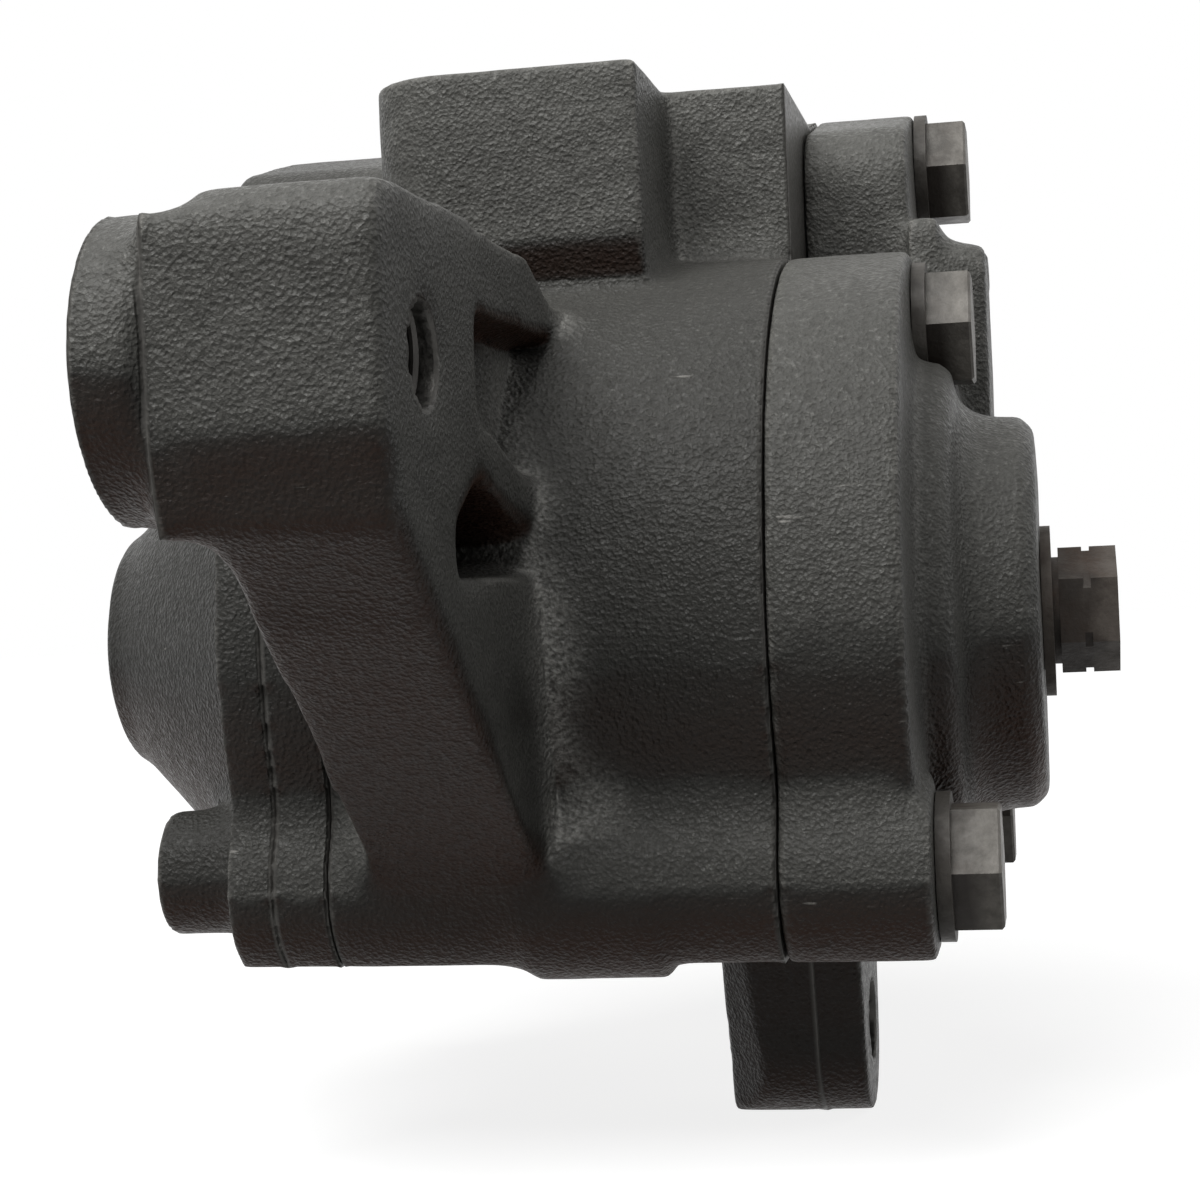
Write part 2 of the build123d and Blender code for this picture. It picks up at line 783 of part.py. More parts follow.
with BuildPart() as rear_plug:
    with BuildSketch(Plane.YZ.offset(boss_x - plug_engagement)):
        Circle(plug_thread_radius)
    extrude(amount=plug_engagement + plug_washer_thickness)
    with BuildSketch(Plane.YZ.offset(plug_head_x)):
        Circle(plug_collar_radius)
    extrude(amount=plug_collar_length)
    with BuildSketch(Plane.YZ.offset(plug_head_x + plug_collar_length)):
        RegularPolygon(plug_corner_radius, 6, rotation=90)
    extrude(amount=plug_head_length - plug_collar_length)
    with BuildSketch(Plane.YZ.offset(plug_head_x + plug_groove_x)):
        Circle(plug_corner_radius)
        Circle(plug_corner_radius - plug_groove_depth, mode=Mode.SUBTRACT)
    extrude(amount=plug_groove_width, mode=Mode.SUBTRACT)

with BuildPart() as plug_washer:
    with BuildSketch(Plane.YZ.offset(boss_x)):
        Circle(plug_washer_radius)
        Circle(plug_thread_radius, mode=Mode.SUBTRACT)
    extrude(amount=plug_washer_thickness)

# ---------------------------------------------------------------- drive shaft, seal, bush and rings
shaft_end_x = bearing_end_x - running_clearance

with BuildPart() as drive_shaft:
    with BuildSketch(Plane.YZ.offset(shaft_x)):
        Circle(shaft_radius)
    extrude(amount=shaft_end_x - shaft_x)
    chamfer(drive_shaft.edges(), length=shaft_edge)
    with BuildSketch(Plane.YZ.offset(shaft_x)):
        Rectangle(drive_slot_width, 2 * shaft_radius)
    extrude(amount=drive_slot_depth, mode=Mode.SUBTRACT)
    with BuildSketch(Plane.YZ.offset(ring_x)):
        with PolarLocations(shaft_radius, spline_teeth):
            Rectangle(2 * spline_depth, spline_width)
    extrude(amount=ring_width, mode=Mode.SUBTRACT)

with BuildPart() as shaft_seal:
    with BuildSketch(Plane.XZ):
        with BuildLine():
            Polyline(
                (seal_x, seal_radius),
                (seal_seat_x, seal_radius),
                (seal_seat_x, shaft_radius + seal_lip_clearance),
                (seal_seat_x - seal_lip_length, shaft_radius + seal_lip_clearance),
                (seal_seat_x - seal_wall, seal_radius - seal_wall),
                (seal_x, seal_radius - seal_wall),
                close=True,
            )
        make_face()
    revolve(axis=Axis.X)


def open_ring(x, outer, inner, thickness, gap_angle):
    """A snap ring: a flat ring with a gap between its two ends."""
    with BuildPart() as ring:
        with BuildSketch(Plane.YZ.offset(x)):
            Circle(outer)
            Circle(inner, mode=Mode.SUBTRACT)
            with Locations(Location((0, 0, 0), gap_angle)):
                Rectangle(outer, ring_end_gap, align=(Align.MIN, Align.CENTER), mode=Mode.SUBTRACT)
        extrude(amount=thickness)
    return ring


snap_ring_gap_angle = 270
seal_snap_ring = open_ring(
    seal_ring_x, seal_radius + ring_groove_depth, seal_radius + ring_groove_depth - ring_width_radial,
    ring_thickness, snap_ring_gap_angle,
)
bearing_snap_ring = open_ring(
    bearing_ring_x,
    bearing_radius + ring_groove_depth,
    bearing_radius + ring_groove_depth - ring_width_radial,
    ring_thickness,
    snap_ring_gap_angle,
)

with BuildPart() as front_bush:
    with BuildSketch(Plane.YZ.offset(seal_seat_x)):
        Circle(bush_radius)
        Circle(shaft_radius + running_clearance, mode=Mode.SUBTRACT)
    extrude(amount=plate_x - seal_seat_x)

# ---------------------------------------------------------------- rotor and vanes
cam_minor_radius = rotor_radius + cam_clearance
vane_tip_radius = rotor_radius + running_clearance
vane_root_radius = vane_tip_radius - vane_height
slot_floor_radius = vane_root_radius - vane_root_gap
vane_width = ring_width - 2 * side_clearance
vane_pitch = 360 / vane_count

with BuildPart() as rotor:
    with BuildSketch(Plane.YZ.offset(ring_x + side_clearance)):
        Circle(rotor_radius)
        Circle(shaft_radius + spline_clearance, mode=Mode.SUBTRACT)
        with PolarLocations(shaft_radius, spline_teeth):
            Rectangle(2 * spline_depth - 2 * spline_clearance, spline_width - 2 * spline_clearance)
        Circle(shaft_radius - spline_depth + spline_clearance, mode=Mode.SUBTRACT)
        with PolarLocations(slot_floor_radius, vane_count):
            Rectangle(rotor_radius, vane_thickness + 2 * vane_slot_clearance,
                      align=(Align.MIN, Align.CENTER), mode=Mode.SUBTRACT)
            Circle(under_vane_radius, mode=Mode.SUBTRACT)
    extrude(amount=vane_width)

vanes = []
for index in range(vane_count):
    with BuildPart() as vane:
        with BuildSketch(Plane.YZ.offset(ring_x + side_clearance)):
            with PolarLocations(vane_root_radius, 1, start_angle=index * vane_pitch):
                Rectangle(vane_height, vane_thickness, align=(Align.MIN, Align.CENTER))
        extrude(amount=vane_width)
    vanes.append(vane)

# ---------------------------------------------------------------- cam ring and port plates


def cam_radius(angle):
    """Radius of the ring's track: smallest on the Z axis and largest on the Y axis."""
    return cam_minor_radius + cam_stroke * (1 + math.cos(2 * math.radians(angle))) / 2


track = []
for step in range(cam_points):
    angle = 360 * step / cam_points
    radius = cam_radius(angle)
    track.append((radius * math.cos(math.radians(angle)), radius * math.sin(math.radians(angle))))
dowel_orbit = insert_radius - dowel_wall
dowel_centres = [(0, dowel_orbit), (0, -dowel_orbit)]

with BuildPart() as cam_ring:
    with BuildSketch(Plane.YZ.offset(ring_x)):
        Circle(insert_radius)
        with BuildLine():
            Spline(*track, periodic=True)
        make_face(mode=Mode.SUBTRACT)
        with Locations(*dowel_centres):
            Circle(dowel_radius, mode=Mode.SUBTRACT)
    extrude(amount=ring_width)


def port_plate(x, length, open_face_x):
    """A round plate beside the rotor, with two through ports and two blind ones."""
    with BuildPart() as plate:
        with BuildSketch(Plane.YZ.offset(x)):
            Circle(insert_radius)
            Circle(shaft_radius + running_clearance, mode=Mode.SUBTRACT)
            with Locations(*dowel_centres):
                Circle(dowel_radius, mode=Mode.SUBTRACT)
        extrude(amount=length)
        inward = 1 if x < open_face_x else -1
        for middle, depth in (
            (port_angle, length),
            (port_angle + 180, length),
            (port_angle + 90, kidney_depth),
            (port_angle + 270, kidney_depth),
        ):
            with BuildSketch(Plane.YZ.offset(open_face_x)):
                SlotArc(
                    CenterArc((0, 0), kidney_orbit, middle - kidney_arc / 2, kidney_arc, mode=Mode.PRIVATE),
                    kidney_width,
                )
            extrude(amount=-inward * depth, mode=Mode.SUBTRACT)
    return plate


thrust_plate = port_plate(thrust_x, thrust_plate_length, ring_x)
pressure_plate = port_plate(pressure_x, pressure_plate_length, pressure_x)

with BuildPart() as dowel_pins:
    with BuildSketch(Plane.YZ.offset(ring_x - dowel_engagement)):
        with Locations(*dowel_centres):
            Circle(dowel_radius)
    extrude(amount=ring_width + 2 * dowel_engagement)

with BuildPart() as disc_spring:
    with BuildSketch(Plane.XZ):
        with BuildLine():
            Polyline(
                (spring_x, disc_spring_outer),
                (spring_x + disc_spring_thickness, disc_spring_outer),
                (spigot_x, disc_spring_inner + disc_spring_thickness),
                (spigot_x, disc_spring_inner),
                (spigot_x - disc_spring_thickness, disc_spring_inner),
                close=True,
            )
        make_face()
    revolve(axis=Axis.X)

# ---------------------------------------------------------------- rear ball bearing
bearing_bore = shaft_radius
ball_orbit = (bearing_bore + bearing_radius) / 2
groove_radius = ball_radius + ball_clearance
bearing_middle_x = bearing_x + bearing_length / 2


def race(outer, inner):
    """A bearing ring with the balls' groove in it."""
    with BuildPart() as ring:
        with BuildSketch(Plane.YZ.offset(bearing_x)):
            Circle(outer)
            Circle(inner, mode=Mode.SUBTRACT)
        extrude(amount=bearing_length)
        with BuildSketch(Plane.XZ):
            with Locations((bearing_middle_x, ball_orbit)):
                Circle(groove_radius)
        revolve(axis=Axis.X, mode=Mode.SUBTRACT)
    return ring


bearing_inner_ring = race(bearing_bore + race_thickness, bearing_bore)
bearing_outer_ring = race(bearing_radius, bearing_radius - race_thickness)

with BuildPart() as bearing_balls:
    with Locations(Plane.YZ.offset(bearing_middle_x)):
        with PolarLocations(ball_orbit, ball_count):
            Sphere(ball_radius)

with BuildPart() as bearing_cage:
    with BuildSketch(Plane.YZ.offset(bearing_middle_x - cage_length / 2)):
        Circle(ball_orbit + cage_half_thickness)
        Circle(ball_orbit - cage_half_thickness, mode=Mode.SUBTRACT)
    extrude(amount=cage_length)
    with Locations(Plane.YZ.offset(bearing_middle_x)):
        with PolarLocations(ball_orbit, ball_count):
            Cylinder(ball_radius + cage_pocket_clearance, 4 * cage_half_thickness,
                     rotation=(0, 90, 0), mode=Mode.SUBTRACT)

# ---------------------------------------------------------------- flow-control spool and relief valve
spool_stop_x = cover_x - stop_gap
spool_rear_x = spool_stop_x - spool_stop_length
spool_x = spool_rear_x - spool_length
spool_radius = valve_radius - spool_clearance
relief_floor_x = spool_x + relief_bore_length
relief_seat_x = spool_x + relief_seat_length
valve_axis = Axis((0, valve_y, valve_z), (1, 0, 0))
valve_section = Plane(origin=(0, valve_y, valve_z), x_dir=(1, 0, 0), z_dir=(0, -1, 0))

with BuildPart() as flow_control_spool:
    with BuildSketch(valve_section):
        with BuildLine():
            Polyline(
                (spool_x, 0),
                (spool_x, spool_radius),
                (spool_x + spool_land_length, spool_radius),
                (spool_x + spool_land_length, spool_waist_radius),
                (spool_x + spool_land_length + spool_waist_length, spool_waist_radius),
                (spool_x + spool_land_length + spool_waist_length, spool_radius),
                (spool_rear_x, spool_radius),
                (spool_rear_x, spool_stop_radius),
                (spool_stop_x, spool_stop_radius),
                (spool_stop_x, 0),
                close=True,
            )
        make_face()
    revolve(axis=valve_axis)
    with BuildSketch(Plane.YZ.offset(spool_x)):
        with Locations(valve_centre):
            Circle(relief_bore_radius)
    extrude(amount=relief_bore_length, mode=Mode.SUBTRACT)

with BuildPart() as relief_seat:
    with BuildSketch(valve_section):
        with BuildLine():
            Polyline(
                (spool_x, relief_seat_bore),
                (spool_x, relief_bore_radius),
                (relief_seat_x, relief_bore_radius),
                (relief_seat_x, relief_seat_cone),
                (relief_seat_x - relief_seat_cone + relief_seat_bore, relief_seat_bore),
                close=True,
            )
        make_face()
    revolve(axis=valve_axis)

poppet_tip_x = relief_seat_x - relief_seat_cone + poppet_seat_gap
poppet_end_x = poppet_tip_x + poppet_length

with BuildPart() as relief_poppet:
    with BuildSketch(valve_section):
        with BuildLine():
            Polyline(
                (poppet_tip_x, 0),
                (poppet_tip_x + poppet_cone_length, poppet_radius),
                (poppet_end_x, poppet_radius),
                (poppet_end_x, poppet_stem_radius),
                (poppet_end_x + poppet_stem_length, poppet_stem_radius),
                (poppet_end_x + poppet_stem_length, 0),
                close=True,
            )
        make_face()
    revolve(axis=valve_axis)


def coil_spring(start_x, end_x, coil_radius, wire_radius, turns):
    """A helical spring on the valve's axis, between two seats."""
    height = end_x - start_x - 2 * wire_radius
    with BuildPart() as spring:
        with BuildLine() as coil:
            Helix(
                pitch=height / turns, height=height, radius=coil_radius,
                center=(start_x + wire_radius, valve_y, valve_z), direction=(1, 0, 0),
            )
        with BuildSketch(Plane(origin=coil.line @ 0, z_dir=coil.line % 0)):
            Circle(wire_radius)
        sweep(is_frenet=True)
    return spring


relief_spring = coil_spring(
    poppet_end_x + spring_seat_gap,
    relief_floor_x - spring_seat_gap,
    relief_coil_radius,
    relief_wire,
    relief_turns,
)
spool_spring = coil_spring(
    valve_chamber_x + spring_seat_gap, spool_x - spring_seat_gap, spool_coil_radius, spool_wire, spool_turns,
)

# ---------------------------------------------------------------- static seals
with BuildPart() as chamber_seal_rings:
    for ring, groove in chamber_seals:
        add(ring)

with BuildPart() as valve_seal_rings:
    for ring, groove in valve_seals:
        add(ring)

pieces = {
    "pump_body": pump_body,
    "front_cover": front_cover,
    "intermediate_plate": intermediate_plate,
    "rear_cover": rear_cover,
    "cover_bolts": cover_bolts,
    "cover_washers": cover_washers,
    "rear_plug": rear_plug,
    "plug_washer": plug_washer,
    "drive_shaft": drive_shaft,
    "shaft_seal": shaft_seal,
    "seal_snap_ring": seal_snap_ring,
    "front_bush": front_bush,
    "rotor": rotor,
    "cam_ring": cam_ring,
    "thrust_plate": thrust_plate,
    "pressure_plate": pressure_plate,
    "dowel_pins": dowel_pins,
    "disc_spring": disc_spring,
    "bearing_inner_ring": bearing_inner_ring,
    "bearing_outer_ring": bearing_outer_ring,
    "bearing_balls": bearing_balls,
    "bearing_cage": bearing_cage,
    "bearing_snap_ring": bearing_snap_ring,
    "flow_control_spool": flow_control_spool,
    "relief_seat": relief_seat,
    "relief_poppet": relief_poppet,
    "relief_spring": relief_spring,
    "spool_spring": spool_spring,
    "chamber_seal_rings": chamber_seal_rings,
    "valve_seal_rings": valve_seal_rings,
}
for number, vane in enumerate(vanes, start=1):
    pieces[f"vane_{number}"] = vane
for name, piece in pieces.items():
    piece.part.label = name
    export_step(piece.part, f"parts/{name}.step")
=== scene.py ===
"""Visual model of a hydraulic vane pump, made over its packed frame.

The four castings are rebuilt with the soft edges, fillets and uneven skin of sand-cast iron.
The turned, ground and rubber pieces keep their shape and get their finishes here.
"""

import json
import math

import bmesh
import bpy
import numpy as np
from mathutils import Matrix, Vector, noise

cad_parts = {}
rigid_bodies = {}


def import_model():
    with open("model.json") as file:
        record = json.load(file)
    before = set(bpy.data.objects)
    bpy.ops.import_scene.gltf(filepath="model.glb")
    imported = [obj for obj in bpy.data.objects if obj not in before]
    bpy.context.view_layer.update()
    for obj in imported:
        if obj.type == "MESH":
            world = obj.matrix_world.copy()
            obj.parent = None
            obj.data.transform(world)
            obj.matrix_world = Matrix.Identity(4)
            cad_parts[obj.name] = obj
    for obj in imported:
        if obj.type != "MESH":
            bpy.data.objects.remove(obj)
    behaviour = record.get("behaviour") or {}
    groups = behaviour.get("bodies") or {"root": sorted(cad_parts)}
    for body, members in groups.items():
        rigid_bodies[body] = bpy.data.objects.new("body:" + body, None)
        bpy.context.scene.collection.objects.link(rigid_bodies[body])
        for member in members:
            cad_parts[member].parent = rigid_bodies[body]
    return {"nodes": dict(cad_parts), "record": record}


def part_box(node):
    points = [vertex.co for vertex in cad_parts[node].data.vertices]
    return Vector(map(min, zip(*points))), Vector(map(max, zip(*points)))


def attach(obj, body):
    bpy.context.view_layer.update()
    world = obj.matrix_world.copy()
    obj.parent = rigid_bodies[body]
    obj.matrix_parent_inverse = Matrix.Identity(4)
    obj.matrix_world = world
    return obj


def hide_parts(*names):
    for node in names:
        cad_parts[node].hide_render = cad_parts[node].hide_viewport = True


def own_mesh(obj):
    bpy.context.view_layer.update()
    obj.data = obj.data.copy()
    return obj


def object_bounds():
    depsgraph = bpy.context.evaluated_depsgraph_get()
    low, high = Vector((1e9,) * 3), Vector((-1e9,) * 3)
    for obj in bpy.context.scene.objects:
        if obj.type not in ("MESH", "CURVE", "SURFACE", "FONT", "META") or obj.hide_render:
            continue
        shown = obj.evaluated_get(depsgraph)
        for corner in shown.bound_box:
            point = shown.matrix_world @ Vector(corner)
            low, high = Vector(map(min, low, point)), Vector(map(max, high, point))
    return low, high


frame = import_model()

bl_info = {
    "name": "Hydraulic Vane Pump",
    "version": (1, 0, 0),
    "blender": (4, 5, 0),
    "location": "3D View > Sidebar > Vane Pump",
    "description": "Builds the looks of a hydraulic vane pump over its packed frame",
    "category": "Object",
}

CAD_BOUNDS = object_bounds()
MM = 0.001

# Places on the castings, in millimetres from the shaft's axis and its drive end
BODY_FRONT_X, BODY_REAR_X = 35.0, 84.1
BARREL_RADIUS = 45.5
VALVE_BORE_RADIUS = 8.0
ARM_MIDDLE_X = 51.5
ARM_ROOT_Y = -16.0
ARM_ROOT_FOOT_Z, ARM_ROOT_TOP_Z = -40.0, 39.5
WAIST_INNER_RADIUS, WAIST_OUTER_RADIUS = 40.0, 61.0
WAIST_FRONT_X, WAIST_REAR_X = 54.0, 74.0
WAIST_Y, WAIST_MIDDLE_Z = -22.0, 1.0
LUG_BACK_Y = -59.0
STEP_X, STEP_Y, PARTING_Z = 36.5, -78.0, 18.9
PORT_FLOOR_Z, PORT_TOP_Z, PORT_FRONT_Y = 37.5, 54.0, -4.0

# Where the painted light thins out: below the top, on the barrel and on the front cover, in metres
LIGHT_TOP = 48 * MM
DIM_BARREL = (44.6 * MM, 47 * MM)
DIM_BODY_END = (83.9 * MM, 84.3 * MM)
DIM_FRONT = (18 * MM, 36 * MM)

# Round a cut face or bore, in millimetres: what is surely cut, and how soon the cast skin begins
CUT_MARGIN = 0.15
CUT_FADE = 0.5

# Relaxing the cast skin
PULL = 0.5  # share of the way to its neighbours that a point goes in one pass
UNDERCUT_HOLD = 0.85  # share of the fill that the port blocks' undercut is spared
LEAST_STRIDE = 10  # passes between two readings of the normals, at least
MOST_STRIDES = 16
FILL_SEEN = 0.3  # depth of fill, in millimetres, from which the painted highlight shows it
FILL_RANGE = 1.2  # how much deeper it is where it shows in full
WANDER_LIMIT = 0.9  # the noise is cut off here

# The threads' ridges
THREAD_STEPS = 40  # places along one turn
THREAD_SINK = 0.06 * MM  # how far a ridge's foot runs into the wall
THREAD_FOOT = 0.46  # half a ridge's width at the wall, as a share of the pitch
THREAD_CREST = 0.10  # the same at its crest
# how far each ends inside its hole's mouth, in millimetres
THREAD_MOUTHS = {"lug_thread": 0.2, "foot_thread": 0.2, "inlet_port": 2.4, "outlet_port": 1.4}


# ---------------------------------------------------------------- settings
class VanePumpCastingSettings(bpy.types.PropertyGroup):
    """Sizes of the cast skin."""

    voxel: bpy.props.FloatProperty(
        name="Voxel",
        description="Grid size at which a casting's skin is rebuilt",
        default=0.6 * MM,
        min=0.2 * MM,
        unit="LENGTH",
        precision=5,
    )
    edge_rounds: bpy.props.IntProperty(
        name="Edge Rounds",
        description="Passes that soften the outer edges",
        default=5,
        min=0,
    )
    fillet_rounds: bpy.props.IntProperty(
        name="Fillet Rounds",
        description="Passes that fill the inner corners",
        default=70,
        min=0,
    )
    blend_rounds: bpy.props.IntProperty(
        name="Blend Rounds",
        description="Further passes where the mounting arm runs into the barrel",
        default=340,
        min=0,
    )
    waist_rounds: bpy.props.IntProperty(
        name="Waist Rounds",
        description="Passes that swell the arm's side into the barrel below its ribs",
        default=2600,
        min=0,
    )
    lug_rounds: bpy.props.IntProperty(
        name="Lug Rounds",
        description="Further passes that round the lug's outer edges",
        default=22,
        min=0,
    )
    parting_step: bpy.props.FloatProperty(
        name="Parting Step",
        description="How far the lug's front steps back below the mould's parting line",
        default=0.8 * MM,
        unit="LENGTH",
        precision=5,
    )
    wave_height: bpy.props.FloatProperty(
        name="Wave Height",
        description="How far the cast skin wanders inwards",
        default=0.22 * MM,
        unit="LENGTH",
        precision=5,
    )
    wave_length: bpy.props.FloatProperty(
        name="Wave Length",
        description="Distance between the low and high places of the skin",
        default=9.0 * MM,
        unit="LENGTH",
    )


class VanePumpPaintSettings(bpy.types.PropertyGroup):
    """Colours of the painted castings."""

    paint: bpy.props.FloatVectorProperty(
        name="Paint", description="Main paint", subtype="COLOR", size=3,
        default=(0.014, 0.0135, 0.0120), min=0, max=1,
    )
    # The lighter paint of faces that look up and lie near the top: painted light.
    lit_paint: bpy.props.FloatVectorProperty(
        name="Thin Paint", description="Paint where it lies thin or dusty", subtype="COLOR", size=3,
        default=(0.118, 0.117, 0.108), min=0, max=1,
    )
    edge: bpy.props.FloatVectorProperty(
        name="Worn Edge", description="Iron that shows on worn edges", subtype="COLOR", size=3,
        default=(0.29, 0.28, 0.26), min=0, max=1,
    )
    # The colour of the painted highlight in the fillets.
    fillet_highlight: bpy.props.FloatVectorProperty(
        name="Hollow", description="Dust and polish in the fillets", subtype="COLOR", size=3,
        default=(0.240, 0.237, 0.222), min=0, max=1,
    )
    patina: bpy.props.FloatVectorProperty(
        name="Patina", description="Brown oil film on the undersides", subtype="COLOR", size=3,
        default=(0.0200, 0.0090, 0.0052), min=0, max=1,
    )
    bare_iron: bpy.props.FloatVectorProperty(
        name="Bare Iron", description="Machined faces and bores", subtype="COLOR", size=3,
        default=(0.085, 0.082, 0.076), min=0, max=1,
    )
    grain: bpy.props.FloatProperty(
        name="Grain", description="Size of the sand grain in the skin", default=0.27 * MM,
        unit="LENGTH", precision=5,
    )
    grain_relief: bpy.props.FloatProperty(
        name="Grain Relief", description="Strength of the grain's bump", default=0.80,
        min=0, max=1, subtype="FACTOR",
    )


class VanePumpMetalSettings(bpy.types.PropertyGroup):
    """Colours of the bare and plated metals."""

    bolt: bpy.props.FloatVectorProperty(
        name="Bolt Steel", description="Blackened bolt heads", subtype="COLOR", size=3,
        default=(0.090, 0.084, 0.075), min=0, max=1,
    )
    washer: bpy.props.FloatVectorProperty(
        name="Washer Steel", description="Plain washers", subtype="COLOR", size=3,
        default=(0.040, 0.037, 0.033), min=0, max=1,
    )
    plug: bpy.props.FloatVectorProperty(
        name="Plug Steel", description="Rear plug under its rust", subtype="COLOR", size=3,
        default=(0.050, 0.043, 0.037), min=0, max=1,
    )
    rust: bpy.props.FloatVectorProperty(
        name="Rust", description="Rust on the plug and bolts", subtype="COLOR", size=3,
        default=(0.040, 0.025, 0.017), min=0, max=1,
    )
    # Oil film on the bare metal, which the bolts and plug also take on their lower faces as painted
    # shade.
    oil_film_and_shade: bpy.props.FloatVectorProperty(
        name="Oil Film", description="Dark film on bare metal", subtype="COLOR", size=3,
        default=(0.014, 0.011, 0.009), min=0, max=1,
    )
    ground: bpy.props.FloatVectorProperty(
        name="Ground Steel", description="Ground and turned pieces", subtype="COLOR", size=3,
        default=(0.50, 0.49, 0.47), min=0, max=1,
    )
    hardened: bpy.props.FloatVectorProperty(
        name="Hardened Steel", description="Lapped rotor, vanes and balls", subtype="COLOR", size=3,
        default=(0.62, 0.61, 0.60), min=0, max=1,
    )
    spring: bpy.props.FloatVectorProperty(
        name="Spring Steel", description="Springs and snap rings", subtype="COLOR", size=3,
        default=(0.24, 0.23, 0.23), min=0, max=1,
    )
    bronze: bpy.props.FloatVectorProperty(
        name="Bronze", description="Bush and bearing cage", subtype="COLOR", size=3,
        default=(0.56, 0.36, 0.15), min=0, max=1,
    )
    rubber: bpy.props.FloatVectorProperty(
        name="Rubber", description="Seals", subtype="COLOR", size=3,
        default=(0.018, 0.018, 0.017), min=0, max=1,
    )


class VanePumpThreadSettings(bpy.types.PropertyGroup):
    """Sizes of the cut threads."""

    lug_pitch: bpy.props.FloatProperty(
        name="Lug Pitch", description="Pitch in the lug's and the foot's holes", default=1.5 * MM,
        unit="LENGTH", precision=5,
    )
    port_pitch: bpy.props.FloatProperty(
        name="Port Pitch", description="Pitch in the two ports", default=1.5 * MM,
        unit="LENGTH", precision=5,
    )
    ridge: bpy.props.FloatProperty(
        name="Ridge", description="How far a thread stands in from its hole", default=0.55 * MM,
        unit="LENGTH", precision=5,
    )


class VanePumpStageSettings(bpy.types.PropertyGroup):
    """Camera, lamps and floor."""

    camera_place: bpy.props.FloatVectorProperty(
        name="Camera", description="Where the camera stands", subtype="TRANSLATION", size=3,
        default=(0.115, -0.305, 0.0055), unit="LENGTH",
    )
    camera_aim: bpy.props.FloatVectorProperty(
        name="Aim", description="Direction in which the camera looks", subtype="DIRECTION", size=3,
        default=(-0.185, 1.0, -0.006),
    )
    camera_roll: bpy.props.FloatProperty(
        name="Roll", description="How far the camera leans", subtype="ANGLE",
        default=math.radians(2.6),
    )
    lens: bpy.props.FloatProperty(
        name="Lens", description="Focal length in millimetres", default=75.0,
    )
    key_power: bpy.props.FloatProperty(
        name="Key", description="Power of the lamp above", default=7.6, unit="POWER",
    )
    fill_power: bpy.props.FloatProperty(
        name="Fill", description="Power of the lamp beside the camera", default=0.36, unit="POWER",
    )
    side_power: bpy.props.FloatProperty(
        name="Side", description="Power of the lamp behind the plug's end", unit="POWER",
        default=0.9,
    )
    ambient: bpy.props.FloatProperty(
        name="Ambient", description="Strength of the room's light on the object", default=0.035,
    )
    floor: bpy.props.FloatVectorProperty(
        name="Floor", description="Colour of the floor", subtype="COLOR", size=3,
        default=(0.30, 0.30, 0.298), min=0, max=1,
    )
    floor_in_room: bpy.props.FloatVectorProperty(
        name="Floor in Room", description="Colour that the floor throws back on the object",
        subtype="COLOR", size=3, default=(0.12, 0.12, 0.115), min=0, max=1,
    )


# ---------------------------------------------------------------- node short-hand
def add_node(tree, kind, inputs=None, **choices):
    """Add one node, make its choices, and set or link its inputs."""
    made = tree.nodes.new(kind)
    for key, value in choices.items():
        setattr(made, key, value)
    for key, value in (inputs or {}).items():
        socket = made.inputs[key]
        if isinstance(value, bpy.types.NodeSocket):
            tree.links.new(value, socket)
        elif hasattr(value, "__len__"):
            missing = len(socket.default_value) - len(value)
            socket.default_value = tuple(value) + (1.0,) * missing
        else:
            socket.default_value = value
    return made


def place(tree, stretch=(1, 1, 1)):
    """The piece's own coordinates, which move with it, stretched where a finish has a direction."""
    coordinates = add_node(tree, "ShaderNodeTexCoord").outputs["Object"]
    if stretch == (1, 1, 1):
        return coordinates
    return add_node(
        tree, "ShaderNodeMapping", {"Vector": coordinates, "Scale": stretch}
    ).outputs["Vector"]


def cloud(tree, where, size, detail=3.0, roughness=0.6):
    """Noise whose spots are about as large as size."""
    return add_node(
        tree,
        "ShaderNodeTexNoise",
        {"Vector": where, "Scale": 0.5 / size, "Detail": detail, "Roughness": roughness},
    ).outputs["Fac"]


def band(tree, value, low, high, out_low=0.0, out_high=1.0):
    """The value spread over a range and clamped to it."""
    return add_node(
        tree,
        "ShaderNodeMapRange",
        {"Value": value, "From Min": low, "From Max": high, "To Min": out_low, "To Max": out_high},
    ).outputs["Result"]


def product(tree, first, second, operation="MULTIPLY"):
    """Two values put together."""
    return add_node(tree, "ShaderNodeMath", {0: first, 1: second}, operation=operation).outputs[0]


def tint(tree, share, under, over):
    """One colour laid over another by a share."""
    made = add_node(tree, "ShaderNodeMix", data_type="RGBA")
    for index, value in ((0, share), (6, under), (7, over)):
        socket = made.inputs[index]
        if isinstance(value, bpy.types.NodeSocket):
            tree.links.new(value, socket)
        elif index:
            socket.default_value = (*value, 1.0)
        else:
            socket.default_value = value
    return made.outputs[2]


def relief(tree, height, strength, depth, under=None):
    """A bump from a height, over another bump where one is given."""
    inputs = {"Height": height, "Strength": strength, "Distance": depth}
    if under is not None:
        inputs["Normal"] = under
    return add_node(tree, "ShaderNodeBump", inputs).outputs["Normal"]


def start_material(name):
    """An empty material, its tree, and the shader that its output takes."""
    made = bpy.data.materials.new(name)
    made.use_nodes = True
    tree = made.node_tree
    tree.nodes.clear()
    shader = tree.nodes.new("ShaderNodeBsdfPrincipled")
    output = tree.nodes.new("ShaderNodeOutputMaterial")
    tree.links.new(shader.outputs["BSDF"], output.inputs["Surface"])
    return made, tree, shader


def convex_mask(tree, low, high):
    """Where the surface bulges: its outer edges."""
    pointed = add_node(tree, "ShaderNodeNewGeometry").outputs["Pointiness"]
    return band(tree, pointed, low, high)


def underside(tree, start, end):
    """Where the surface looks down."""
    normal = add_node(tree, "ShaderNodeNewGeometry").outputs["Normal"]
    up = add_node(tree, "ShaderNodeSeparateXYZ", {0: normal}).outputs["Z"]
    return band(tree, up, start, end)


